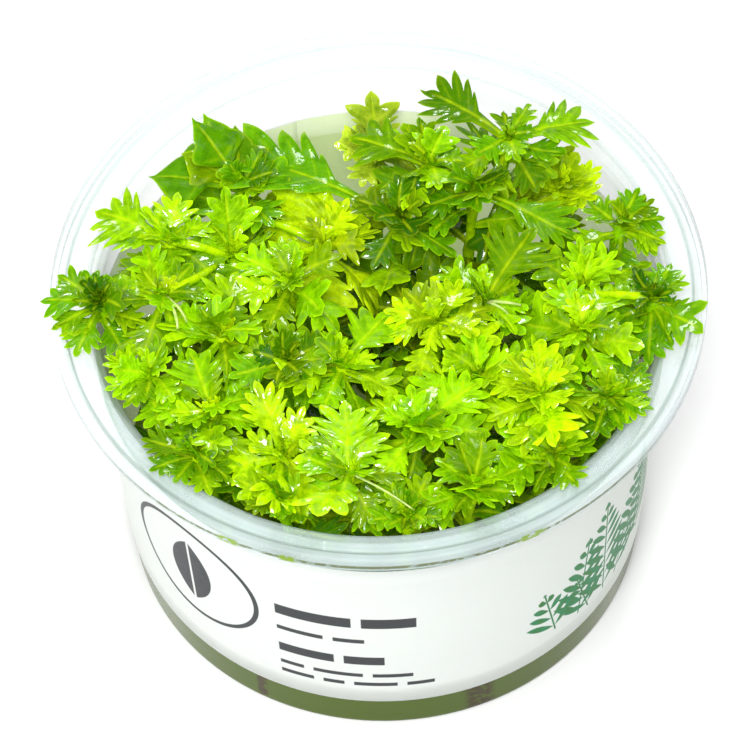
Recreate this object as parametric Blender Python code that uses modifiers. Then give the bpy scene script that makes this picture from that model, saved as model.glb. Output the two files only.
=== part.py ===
"""Water violet in a tissue culture cup.

A clear plastic cup with a wide flange, a white sleeve label round its wall, a disc of nutrient
gel in its bottom, and the cultured plantlets that stand in the gel. Metres, +Z up. The origin is
the centre of the cup's base, and -Y is the side that the label's print faces.
"""
import math
from collections import namedtuple

import bmesh
import bpy
from mathutils import Vector
from mathutils.bvhtree import BVHTree

MM = 0.001
MERGE = 0.00001
GAP = 0.3 * MM
TURN_STEPS = 40

# Cup
FLANGE_RADIUS = 50.0 * MM
CUP_HEIGHT = 61.0 * MM
WALL = 1.0 * MM
WALL_RADIUS_AT_BASE = 41.2 * MM
WALL_TAPER = 0.0496
CORNER_RADIUS = 3.0 * MM
NECK_HEIGHT = 57.0 * MM
MOUTH_RADIUS = 44.6 * MM
MOUTH_HEIGHT = 59.5 * MM
FLANGE_THICKNESS = 0.9 * MM
SEAT_RADIUS = 47.8 * MM
SEAT_RISE = 0.3 * MM
BEAD_RADIUS = 48.8 * MM
SKIRT_DROP = 2.6 * MM
SKIRT_THICKNESS = 0.8 * MM
CORNER_CUT = 0.6 * MM

# Label
LABEL_FOOT = 7.6 * MM
LABEL_TOP = 48.5 * MM
LABEL_THICKNESS = 0.25 * MM

# Gel
GEL_TOP = 15.0 * MM

# Plantlets
STEM_RADIUS = 0.75 * MM
BUD_RADIUS = 1.5 * MM
STEM_POINTS = 3
FOOT_RADIUS_LIMIT = 35.0 * MM
STEM_DRAW_IN = 0.84
STEM_BEND = 1.6
LEAF_THICKNESS = 0.5 * MM
LEAF_CLEARANCE = 0.35 * MM
LEAF_DROOP = math.radians(34)
LEAF_GUTTER = 0.22
LEAF_SPACING = 1.0 * MM
LEAF_WIDTH_SHARE = 0.26
LEAF_WIDTH_BASE = 1.5 * MM
BROAD_FROM_LENGTH = 10.6 * MM
GOLDEN_ANGLE = math.radians(137.5)
LATER_RISE = (0.0, 12.0, 28.0, 6.0, 40.0)
STEEPEST_RISE = 62.0
LATER_LENGTH = 12.5
LATER_SHRINK = 0.04
FREE_BOX = (Vector((-19.5, 29.0, 15.5)) * MM, Vector((-4.5, 36.0, 90.0)) * MM)

# Placings to try for a leaf, nearest to the wanted one first: its scale, and how far it turns and lifts.
PLACINGS = sorted(
    (
        (scale, math.radians(turn), math.radians(lift))
        for scale in (1.0, 0.9, 0.8, 0.7)
        for turn in (0, 10, -10, 20, -20, 32, -32, 46, -46)
        for lift in (0, 8, -8, 16, 26, 38)
    ),
    key=lambda placing: (1.0 - placing[0]) * 6.0 + abs(placing[1]) * 2.0 + abs(placing[2]) * 1.6,
)

# A leaf's outline. Each row says how far along the leaf its midrib and its edge are, and its half width.
# Columns are the lines that run along the leaf: the two edges, and on a broad leaf the midrib too.
Row = namedtuple("Row", "midrib edge half_width")
Outline = namedtuple("Outline", "rows columns")
BROAD_LEAF = Outline(
    rows=(
        Row(0.00, 0.00, 0.08),
        Row(0.28, 0.26, 0.13),
        Row(0.42, 0.56, 0.92),
        Row(0.58, 0.58, 0.42),
        Row(0.68, 0.84, 0.86),
        Row(0.80, 0.82, 0.36),
        Row(1.00, 1.00, 0.00),
    ),
    columns=(-1.0, 0.0, 1.0),
)
SMALL_LEAF = Outline(
    rows=(
        Row(0.00, 0.00, 0.10),
        Row(0.32, 0.32, 0.20),
        Row(0.66, 0.66, 1.00),
        Row(0.69, 0.69, 0.52),
        Row(1.00, 1.00, 0.00),
    ),
    columns=(-1.0, 1.0),
)

Leaf = namedtuple("Leaf", "root heading rise length width")

# One plantlet: the crown of its rosette (mm), how many leaves it has, and its lead leaf, whose heading is
# in degrees from +X, rise in degrees over the horizontal and length in mm. The other leaves follow round it.
Plantlet = namedtuple("Plantlet", "place x y z leaves heading rise length")
PLANTING = (
    Plantlet("left_rim", -42.2, -3.4, 63.5, 5, 178, 4, 9.3),
    Plantlet("upper_left", -31.5, 8.6, 62.0, 4, 153, 12, 12.5),
    Plantlet("broad_left", -20.5, 20.0, 60.0, 4, 142, 24, 14.0),
    Plantlet("left_middle", -32.5, -2.0, 62.5, 4, 262, -12, 11.0),
    Plantlet("pale_upright", -22.2, 9.5, 57.0, 4, 96, 50, 11.0),
    Plantlet("crinkled", -13.4, 1.2, 61.0, 4, 60, 18, 11.0),
    Plantlet("deep_yellow", -8.1, 11.0, 51.0, 3, 245, 4, 14.0),
    Plantlet("dark_rosette", -14.5, -16.0, 63.5, 5, 200, 12, 10.5),
    Plantlet("middle", -5.9, -16.0, 62.5, 4, 46, 14, 10.0),
    Plantlet("bright_rosette", 8.6, -10.2, 65.0, 5, 175, 10, 10.0),
    Plantlet("great_leaf", 3.6, 12.5, 60.0, 4, 153, 5, 27.0),
    Plantlet("back_fan", 8.7, 21.0, 63.0, 4, 160, 14, 14.0),
    Plantlet("back_yellow", 0.5, 37.0, 46.0, 3, 100, 66, 9.0),
    Plantlet("top_pair", 20.8, 22.4, 67.0, 4, 12, 8, 14.5),
    Plantlet("long_leaf", 15.5, 16.0, 62.5, 3, 322, -2, 18.0),
    Plantlet("back_right", 28.5, 20.5, 56.0, 3, 60, 25, 11.0),
    Plantlet("right_upper", 37.6, 8.6, 62.5, 5, 345, 8, 9.0),
    Plantlet("right_dark", 41.2, -6.4, 63.0, 5, 350, 5, 8.4),
    Plantlet("curly", 31.0, -1.5, 60.0, 4, 140, 18, 11.0),
    Plantlet("fan", 16.0, -4.0, 60.5, 4, 54, 14, 15.0),
    Plantlet("right_middle", 30.5, -11.5, 62.5, 4, 112, 16, 10.0),
    Plantlet("right_droop", 33.5, -22.0, 60.5, 4, 328, 12, 9.5),
    Plantlet("bright_right", 23.5, -23.0, 63.0, 5, 170, 12, 10.5),
    Plantlet("yellow_node", 24.5, -31.5, 58.5, 3, 300, 8, 9.0),
    Plantlet("broad_middle", 5.0, -27.5, 61.5, 4, 30, 12, 12.0),
    Plantlet("front_upright", -15.0, -30.0, 60.0, 4, 100, 40, 13.0),
    Plantlet("wet", -5.5, -34.5, 61.0, 4, 70, 16, 10.0),
    Plantlet("front_right", 13.0, -36.5, 59.5, 4, 25, 10, 9.0),
    Plantlet("left_node", -25.5, -22.5, 60.5, 4, 105, 22, 11.0),
    Plantlet("left_low", -34.5, -15.0, 60.0, 4, 195, 6, 10.0),
    Plantlet("left_droop", -28.0, -29.5, 60.0, 4, 222, 10, 9.0),
    Plantlet("front_left", -15.8, -37.2, 58.0, 3, 265, 8, 8.0),
    Plantlet("front_middle", 3.0, -40.0, 57.5, 3, 280, 8, 7.5),
    Plantlet("inner_low", 4.5, 1.5, 50.0, 3, 210, 10, 12.0),
    Plantlet("inner_left", -24.0, -8.5, 61.0, 4, 75, 14, 11.5),
    Plantlet("inner_front", 14.5, -17.5, 60.0, 4, 200, 12, 11.5),
)


def wall_radius(height):
    """Outer radius of the tapered wall at a height."""
    return WALL_RADIUS_AT_BASE + WALL_TAPER * height


def inner_radius(height):
    """Radius of the free space inside the cup at a height."""
    if height >= NECK_HEIGHT:
        along = min(1.0, (height - NECK_HEIGHT) / (MOUTH_HEIGHT - NECK_HEIGHT))
        neck = wall_radius(NECK_HEIGHT) - WALL
        return neck + (MOUTH_RADIUS - neck) * along
    return wall_radius(height) - WALL


def new_material(name, colour, roughness, alpha=1.0):
    """A plain Principled material for one sub-part."""
    material = bpy.data.materials.new(name)
    material.use_nodes = True
    shader = material.node_tree.nodes["Principled BSDF"]
    shader.inputs["Base Color"].default_value = (*colour, 1.0)
    shader.inputs["Roughness"].default_value = roughness
    shader.inputs["Metallic"].default_value = 0.0
    shader.inputs["Alpha"].default_value = alpha
    return material


def new_collection(name):
    collection = bpy.data.collections.new(name)
    bpy.context.scene.collection.children.link(collection)
    return collection


def turned(name, profile, material, collection, closed=False):
    """Turn a profile of (radius, height) points about Z with a Screw modifier."""
    mesh = bpy.data.meshes.new(name)
    count = len(profile)
    edges = [(i, i + 1) for i in range(count - 1)]
    if closed:
        edges.append((count - 1, 0))
    mesh.from_pydata([(radius, 0.0, height) for radius, height in profile], edges, [])
    mesh.materials.append(material)
    piece = bpy.data.objects.new(name, mesh)
    collection.objects.link(piece)
    screw = piece.modifiers.new("turn", "SCREW")
    screw.axis = "Z"
    screw.steps = TURN_STEPS
    screw.render_steps = TURN_STEPS
    screw.use_merge_vertices = True
    screw.merge_threshold = MERGE
    screw.use_smooth_shade = True
    return piece


def cup_profile():
    """The cup's section, from the axis out over the flange and back under the base."""
    skirt_inner = FLANGE_RADIUS - SKIRT_THICKNESS
    skirt_foot = CUP_HEIGHT - SKIRT_DROP
    seat_height = MOUTH_HEIGHT + SEAT_RISE
    inside = [
        (0.0, WALL),
        (inner_radius(WALL) - CORNER_RADIUS + WALL, WALL),
        (inner_radius(CORNER_RADIUS), CORNER_RADIUS),
        (inner_radius(NECK_HEIGHT), NECK_HEIGHT),
        (MOUTH_RADIUS, MOUTH_HEIGHT),
    ]
    over_flange = [
        (SEAT_RADIUS, seat_height),
        (BEAD_RADIUS, CUP_HEIGHT),
        (FLANGE_RADIUS, CUP_HEIGHT),
        (FLANGE_RADIUS, skirt_foot),
        (skirt_inner, skirt_foot),
        (skirt_inner, CUP_HEIGHT - FLANGE_THICKNESS),
        (SEAT_RADIUS, seat_height - FLANGE_THICKNESS),
        (MOUTH_RADIUS + WALL, MOUTH_HEIGHT - FLANGE_THICKNESS),
    ]
    outside = [
        (wall_radius(NECK_HEIGHT), NECK_HEIGHT),
        (wall_radius(CORNER_RADIUS), CORNER_RADIUS),
        (wall_radius(0.0) - CORNER_CUT, CORNER_CUT),
        (wall_radius(0.0) - CORNER_RADIUS, 0.0),
        (0.0, 0.0),
    ]
    return inside + over_flange + outside


def build_cup(collection):
    clear = new_material("clear_plastic", (0.86, 0.9, 0.9), 0.12, 0.35)
    return turned("cup", cup_profile(), clear, collection)


def build_label(collection):
    """A thin sleeve that follows the wall's taper, just clear of it."""
    paper = new_material("label_film", (0.86, 0.88, 0.88), 0.4)
    inner_foot = wall_radius(LABEL_FOOT) + GAP
    inner_top = wall_radius(LABEL_TOP) + GAP
    profile = [
        (inner_top, LABEL_TOP),
        (inner_top + LABEL_THICKNESS, LABEL_TOP),
        (inner_foot + LABEL_THICKNESS, LABEL_FOOT),
        (inner_foot, LABEL_FOOT),
    ]
    return turned("label", profile, paper, collection, closed=True)


def build_gel(collection):
    """The jelly that was poured into the bottom of the cup, with the same rounded corner."""
    jelly = new_material("gel", (0.14, 0.19, 0.035), 0.25)
    floor = WALL + GAP
    corner = CORNER_RADIUS + GAP
    profile = [
        (0.0, GEL_TOP),
        (inner_radius(GEL_TOP) - GAP, GEL_TOP),
        (inner_radius(corner) - GAP, corner),
        (inner_radius(floor) - CORNER_RADIUS + WALL - GAP, floor),
        (0.0, floor),
    ]
    return turned("gel", profile, jelly, collection)


def leaf_points(outline, leaf, grow=0.0):
    """Points of a leaf's middle surface, row by row from its root, in the order of the outline's columns.

    The midrib is an arc that leaves the root at a slant above the leaf's rise and droops to its tip. The
    edges stand a little higher than the midrib, as in a shallow gutter. grow widens the leaf all round.
    """
    start = leaf.rise + LEAF_DROOP * 0.4
    out = Vector((math.cos(leaf.heading), math.sin(leaf.heading), 0.0))
    side = Vector((-out.y, out.x, 0.0))
    points = []
    for row in outline.rows:
        for across in outline.columns:
            slant = start - LEAF_DROOP * (row.edge if across else row.midrib)
            along = (math.sin(start) - math.sin(slant)) / LEAF_DROOP * (leaf.length + grow)
            up = (math.cos(slant) - math.cos(start)) / LEAF_DROOP * (leaf.length + grow)
            half = leaf.width * row.half_width + (grow if row.half_width else 0.0)
            up += abs(across) * half * LEAF_GUTTER
            points.append(leaf.root + out * along + side * (across * half) + Vector((0.0, 0.0, up)))
    return points


def leaf_faces(outline, first_row=0):
    """The faces between each pair of rows, as corner numbers of leaf_points."""
    wide = len(outline.columns)
    corners = [
        wide * row + column
        for row in range(first_row, len(outline.rows) - 1)
        for column in range(wide - 1)
    ]
    return [(corner, corner + 1, corner + wide + 1, corner + wide) for corner in corners]


def leaf_surface(outline, leaf, first_row=0, grow=0.0):
    """A search tree of the leaf's middle surface, for finding what it touches."""
    return BVHTree.FromPolygons(leaf_points(outline, leaf, grow), leaf_faces(outline, first_row))


def build_leaf(outline, leaf, material, collection):
    """A leaf plate: a grid laid along the leaf, thickened with Solidify."""
    grid = bmesh.new()
    segments = (len(outline.columns) - 1, len(outline.rows) - 1)
    bmesh.ops.create_grid(grid, x_segments=segments[0], y_segments=segments[1], size=1.0)
    rows = sorted(grid.verts, key=lambda vert: (round(vert.co.y, 3), vert.co.x))
    for vert, point in zip(rows, leaf_points(outline, leaf)):
        vert.co = point
    bmesh.ops.remove_doubles(grid, verts=grid.verts, dist=MERGE)
    mesh = bpy.data.meshes.new("leaf")
    grid.to_mesh(mesh)
    grid.free()
    mesh.materials.append(material)
    plate = bpy.data.objects.new("leaf", mesh)
    collection.objects.link(plate)
    plate.hide_render = True
    plate.display_type = "WIRE"
    thicken = plate.modifiers.new("thickness", "SOLIDIFY")
    thicken.thickness = LEAF_THICKNESS
    thicken.offset = 0.0
    return plate


def keep_out_of(plate):
    """A search tree of a leaf with its clearance on, which no other plantlet's leaf may cross."""
    thicken = plate.modifiers["thickness"]
    thicken.thickness = 2.0 * (LEAF_THICKNESS + LEAF_CLEARANCE)
    tree = BVHTree.FromObject(plate, bpy.context.evaluated_depsgraph_get())
    thicken.thickness = LEAF_THICKNESS
    return tree


def in_free_space(points):
    """True where a leaf is clear of the cup, the gel and the space kept free at the back."""
    margin = LEAF_THICKNESS * 0.5 + LEAF_CLEARANCE
    low, high = FREE_BOX
    for point in points:
        reach = math.hypot(point.x, point.y)
        above_rim = point.z > CUP_HEIGHT + margin
        if not above_rim and reach > inner_radius(point.z) - margin:
            return False
        if point.z < GEL_TOP + margin:
            return False
        if all(low[i] - margin < point[i] < high[i] + margin for i in range(3)):
            return False
    return True


def edge_samples(outline, leaf):
    """The leaf's own points and those halfway along each of its long lines."""
    points = leaf_points(outline, leaf)
    wide = len(outline.columns)
    return points + [(near + far) * 0.5 for near, far in zip(points, points[wide:])]


def place_leaf(outline, wanted, others, own):
    """The placing nearest to the wanted one that is clear of everything else, or None."""
    for scale, turn, lift in PLACINGS:
        leaf = wanted._replace(
            heading=wanted.heading + turn,
            rise=wanted.rise + lift,
            length=wanted.length * scale,
            width=wanted.width * scale,
        )
        if not in_free_space(edge_samples(outline, leaf)):
            continue
        surface = leaf_surface(outline, leaf, grow=LEAF_CLEARANCE)
        if any(surface.overlap(tree) for tree in others):
            continue
        blade = leaf_surface(outline, leaf, first_row=1)
        if any(blade.overlap(tree) for tree in own):
            continue
        return leaf
    return None


def stem_path(plantlet):
    """Points from the stem's foot on the gel to the crown, leaning outwards as it climbs."""
    crown = Vector((plantlet.x, plantlet.y, plantlet.z)) * MM
    reach = math.hypot(crown.x, crown.y)
    draw_in = min(STEM_DRAW_IN, FOOT_RADIUS_LIMIT / reach)
    foot = Vector((crown.x * draw_in, crown.y * draw_in, GEL_TOP + GAP))
    points = []
    for step in range(STEM_POINTS):
        climb = step / (STEM_POINTS - 1)
        point = foot.lerp(crown, climb ** STEM_BEND)
        point.z = foot.z + (crown.z - foot.z) * climb
        points.append(point)
    return points


def stem_mesh(plantlet, radius_gain, material):
    """A tube up the stem's path that swells to the bud at its top, as a closed mesh."""
    curve = bpy.data.curves.new("stem", "CURVE")
    curve.dimensions = "3D"
    curve.bevel_depth = STEM_RADIUS
    curve.bevel_resolution = 1
    curve.use_fill_caps = True
    curve.materials.append(material)
    path = stem_path(plantlet)
    spline = curve.splines.new("POLY")
    spline.points.add(len(path) - 1)
    for step, point in enumerate(path):
        wide = BUD_RADIUS if step == len(path) - 1 else STEM_RADIUS
        spline.points[step].co = (*point, 1.0)
        spline.points[step].radius = (wide + radius_gain) / STEM_RADIUS
    source = bpy.data.objects.new("stem", curve)
    bpy.context.scene.collection.objects.link(source)
    mesh = bpy.data.meshes.new_from_object(source.evaluated_get(bpy.context.evaluated_depsgraph_get()))
    bpy.data.objects.remove(source)
    weld = bmesh.new()
    weld.from_mesh(mesh)
    bmesh.ops.remove_doubles(weld, verts=weld.verts, dist=MERGE)
    bmesh.ops.recalc_face_normals(weld, faces=weld.faces)
    weld.to_mesh(mesh)
    weld.free()
    return mesh


def wanted_leaf(plantlet, number):
    """The leaf that a rosette would grow next: a golden angle on, lower on the stem, a little shorter."""
    heading = math.radians(plantlet.heading) + GOLDEN_ANGLE * number
    rise = math.radians(min(plantlet.rise + LATER_RISE[number], STEEPEST_RISE))
    length = plantlet.length * MM if number == 0 else min(plantlet.length, LATER_LENGTH) * MM
    length *= 1.0 - LATER_SHRINK * number
    crown = stem_path(plantlet)[-1]
    root = crown - Vector((0.0, 0.0, LEAF_SPACING * (number + 1)))
    return Leaf(root, heading, rise, length, length * LEAF_WIDTH_SHARE + LEAF_WIDTH_BASE)


def outline_for(leaf, number):
    """A long lead leaf shows its midrib and two pairs of lobes, any other one pair."""
    return BROAD_LEAF if number == 0 and leaf.length > BROAD_FROM_LENGTH else SMALL_LEAF


def stem_keep_out(plantlet, material):
    """A search tree of a stem with its clearance on."""
    guard = stem_mesh(plantlet, LEAF_THICKNESS * 0.5 + LEAF_CLEARANCE, material)
    corners = [vert.co for vert in guard.vertices]
    tree = BVHTree.FromPolygons(corners, [tuple(face.vertices) for face in guard.polygons])
    bpy.data.meshes.remove(guard)
    return tree


def build_plantlets(collection, tools):
    """All the stems, then the leaves in rounds, so that every lead leaf finds its place first.

    A leaf that has no clear place at any of the placings isn't grown.
    """
    green = new_material("leaf", (0.33, 0.62, 0.01), 0.35)
    keep_outs = [[stem_keep_out(plantlet, green)] for plantlet in PLANTING]
    blades = [[] for plantlet in PLANTING]
    plates = [[] for plantlet in PLANTING]
    for number in range(max(plantlet.leaves for plantlet in PLANTING)):
        for index, plantlet in enumerate(PLANTING):
            if number >= plantlet.leaves:
                continue
            wanted = wanted_leaf(plantlet, number)
            outline = outline_for(wanted, number)
            others = [tree for other, trees in enumerate(keep_outs) if other != index for tree in trees]
            leaf = place_leaf(outline, wanted, others, blades[index])
            if leaf is None:
                continue
            plate = build_leaf(outline, leaf, green, tools)
            plates[index].append(plate)
            blades[index].append(leaf_surface(outline, leaf, first_row=1))
            keep_outs[index].append(keep_out_of(plate))
    for plantlet, leaves in zip(PLANTING, plates):
        stem = bpy.data.objects.new("plantlet_" + plantlet.place, stem_mesh(plantlet, 0.0, green))
        collection.objects.link(stem)
        join(stem, leaves)


def join(base, plates):
    """One body from a stem and its leaves, with a Boolean union for each leaf."""
    for plate in plates:
        union = base.modifiers.new("join", "BOOLEAN")
        union.operation = "UNION"
        union.solver = "EXACT"
        union.object = plate
    whole = bpy.data.meshes.new_from_object(base.evaluated_get(bpy.context.evaluated_depsgraph_get()))
    base.modifiers.clear()
    base.data = whole
    for plate in plates:
        bpy.data.objects.remove(plate)


def main():
    for old in list(bpy.data.objects):
        bpy.data.objects.remove(old)
    parts = new_collection("water_violet_cup")
    tools = new_collection("cutters")
    build_cup(parts)
    build_label(parts)
    build_gel(parts)
    build_plantlets(parts, tools)


main()
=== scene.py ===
"""A water violet tissue culture cup, dressed: clear cup, printed label, gel and lobed-leaf plantlets.

Every size is in millimetres, in the frame of the fixed model, until a mesh is written in metres. The
origin is the centre of the cup's base, +Z is up, and -Y is the side that the label's print faces.
"""
import logging
import math
from dataclasses import dataclass, field, replace
from enum import Enum
from functools import lru_cache, partial, reduce
from typing import Callable, Iterable, Optional, Union

import bpy
import numpy as np
from mathutils import Matrix, Vector


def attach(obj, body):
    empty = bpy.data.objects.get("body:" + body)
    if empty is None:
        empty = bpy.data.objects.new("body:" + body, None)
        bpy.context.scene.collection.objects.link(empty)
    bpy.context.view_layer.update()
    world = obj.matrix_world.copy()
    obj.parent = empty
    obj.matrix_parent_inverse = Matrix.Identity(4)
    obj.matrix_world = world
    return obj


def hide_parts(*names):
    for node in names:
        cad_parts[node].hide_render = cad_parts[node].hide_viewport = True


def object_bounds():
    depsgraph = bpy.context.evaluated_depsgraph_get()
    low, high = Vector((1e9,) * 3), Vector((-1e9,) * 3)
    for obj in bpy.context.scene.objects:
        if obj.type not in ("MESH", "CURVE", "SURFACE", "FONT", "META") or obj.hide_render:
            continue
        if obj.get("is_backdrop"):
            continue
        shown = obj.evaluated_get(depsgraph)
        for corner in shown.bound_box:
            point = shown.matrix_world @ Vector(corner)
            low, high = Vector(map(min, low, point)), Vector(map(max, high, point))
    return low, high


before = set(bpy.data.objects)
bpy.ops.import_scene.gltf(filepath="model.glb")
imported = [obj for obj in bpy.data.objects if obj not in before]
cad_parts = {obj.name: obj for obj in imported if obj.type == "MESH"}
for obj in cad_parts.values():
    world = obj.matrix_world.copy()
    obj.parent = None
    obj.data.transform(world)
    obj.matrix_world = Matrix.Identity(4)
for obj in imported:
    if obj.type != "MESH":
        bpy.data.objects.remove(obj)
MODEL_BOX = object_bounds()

LOG = logging.getLogger("culture_cup")
MM = 0.001
SEED = 27
GOLDEN_ANGLE = 137.5
ASKEW = (0.31, 0.95, 0.05)

Array = np.ndarray
Random = np.random.Generator
Material = bpy.types.Material
Mesh = bpy.types.Mesh
Socket = bpy.types.NodeSocket
Colour = tuple[float, float, float]
Place = tuple[float, float, float]
Pair = tuple[float, float]


class Slot(Enum):
    """Names for the kinds of finish."""

    CLEAR = "clear_plastic"
    FILM = "label_film"
    GEL = "gel"
    LEAF = "leaf"


class Hue(Enum):
    """Leaf colours, from the shaded rosettes to the youngest and the oldest leaves."""

    DARK = (0.036, 0.175, 0.001)
    GREEN = (0.145, 0.400, 0.001)
    LIME = (0.365, 0.750, 0.001)
    BRIGHT = (0.650, 0.960, 0.002)
    YELLOW = (0.740, 0.940, 0.003)
    PALE = (0.780, 0.900, 0.060)
    OLD = (0.520, 0.400, 0.006)
    ROOT = (0.780, 0.860, 0.300)


DARK, GREEN, LIME, BRIGHT, YELLOW, PALE, OLD, ROOT = Hue


def by_node(operation: str, swapped: bool = False) -> Callable[..., "Value"]:
    """Makes the method behind one of Value's operators.

    Args:
        operation: the Math node's operation.
        swapped: whether the Value comes last, as in an operator's reflected form.

    Returns:
        The method, which gives the node's result.
    """

    def method(value: "Value", *others: Union["Value", float]) -> "Value":
        """The operation's result for the Value and what stands beside it."""
        return value.math(operation, *((*others, value) if swapped else (value, *others)))

    return method


class Value:
    """A number that varies over a surface, on which Python's operators add Math nodes."""

    def __init__(self, surface: "Surface", socket: Socket) -> None:
        """Wraps an output socket of a surface's tree."""
        self.surface = surface
        self.socket = socket

    def math(self, operation: str, *others: Union["Value", float], clamp: bool = False) -> "Value":
        """Adds a Math node.

        Args:
            operation: the node's operation.
            others: its inputs, in order, each a Value or a number.
            clamp: whether the result is held between 0 and 1.

        Returns:
            The node's result.
        """
        settings = {"operation": operation, "use_clamp": clamp}
        node = self.surface.node("ShaderNodeMath", settings, dict(enumerate(others)))
        return Value(self.surface, node.outputs[0])

    def ramp(self, start: float, end: float) -> "Value":
        """0 up to start, 1 past end and a straight slope between them; start may be the larger."""
        return self.math("MULTIPLY", self - start, 1.0 / (end - start), clamp=True)

    __add__ = by_node("ADD")
    __radd__ = by_node("ADD", swapped=True)
    __sub__ = by_node("SUBTRACT")
    __rsub__ = by_node("SUBTRACT", swapped=True)
    __mul__ = by_node("MULTIPLY")
    __rmul__ = by_node("MULTIPLY", swapped=True)
    __truediv__ = by_node("DIVIDE")
    __rtruediv__ = by_node("DIVIDE", swapped=True)
    __abs__ = by_node("ABSOLUTE")
    at_least = by_node("MAXIMUM")
    fraction = by_node("FRACT")
    root = by_node("SQRT")


Number = Union[Value, float]


class Surface:
    """One material's node tree, with short calls that add nodes to it."""

    def __init__(self, name: str) -> None:
        """Starts a material with its Principled shader."""
        self.material = bpy.data.materials.new(name)
        self.material.use_nodes = True
        self.tree = self.material.node_tree
        self.shader = self.tree.nodes["Principled BSDF"]

    def node(
        self, kind: str, settings: Optional[dict] = None, sockets: Optional[dict] = None
    ) -> bpy.types.Node:
        """Adds a node.

        Args:
            kind: the node's type.
            settings: its properties, set first.
            sockets: its inputs by name or number, each a number, a colour, a socket or a Value.

        Returns:
            The new node.
        """
        node = self.tree.nodes.new(kind)
        for name, value in (settings or {}).items():
            setattr(node, name, value)
        for name, value in (sockets or {}).items():
            self.feed(node.inputs[name], value)
        return node

    def feed(self, socket: Socket, value: object) -> None:
        """Links a value to an input, or sets the input's own number or colour."""
        if isinstance(value, Value):
            value = value.socket
        if isinstance(value, Socket):
            self.tree.links.new(value, socket)
        elif socket.type == "RGBA" and len(value) == 3:
            socket.default_value = (*value, 1.0)
        else:
            socket.default_value = value

    def set(self, **inputs: object) -> None:
        """Feeds the Principled shader's inputs, named with underscores for spaces."""
        for name, value in inputs.items():
            words = [word.upper() if word == "ior" else word.capitalize() for word in name.split("_")]
            self.feed(self.shader.inputs[" ".join(words)], value)

    def point(self) -> Socket:
        """The place on the object, in metres."""
        return self.node("ShaderNodeTexCoord").outputs["Object"]

    def axes(self, vector: Socket) -> tuple[Value, Value, Value]:
        """A vector's three parts."""
        parts = self.node("ShaderNodeSeparateXYZ", None, {0: vector}).outputs
        return tuple(Value(self, part) for part in parts)

    def noise(self, size: float, detail: float) -> Value:
        """Soft noise, mostly between 0.3 and 0.7, with blotches of a size in mm and some finer layers."""
        sockets = {"Vector": self.point(), "Scale": 1.0 / (size * MM), "Detail": detail}
        return Value(self, self.node("ShaderNodeTexNoise", None, sockets).outputs[0])

    def rings(self, size: float) -> Value:
        """Soft bands round the object's axis, about a size in mm apart, as turning or moulding leaves."""
        east, north, up = self.axes(self.point())
        reach = (east * east + north * north).root() + up
        sockets = {"W": reach, "Scale": 1.0 / (size * MM), "Detail": 2.0}
        node = self.node("ShaderNodeTexNoise", {"noise_dimensions": "1D"}, sockets)
        return Value(self, node.outputs[0])

    def mix(self, share: Number, first: object, second: object) -> Socket:
        """A colour between two, all second where share is 1."""
        sockets = {0: share, 6: first, 7: second}
        return self.node("ShaderNodeMix", {"data_type": "RGBA"}, sockets).outputs[2]

    def blend(self, share: Number, other: Socket) -> None:
        """Mixes a share of another shader into the Principled one, and shows the mixture."""
        both = self.node("ShaderNodeMixShader", None, {0: share, 1: self.shader.outputs[0], 2: other})
        self.feed(self.tree.nodes["Material Output"].inputs["Surface"], both.outputs[0])

    def bump(self, height: Value, depth: float, strength: float) -> None:
        """Feeds the shader's normal from a height, whose full range is depth in mm."""
        sockets = {"Strength": strength, "Distance": depth * MM, "Height": height}
        self.feed(self.shader.inputs["Normal"], self.node("ShaderNodeBump", None, sockets).outputs[0])


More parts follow.
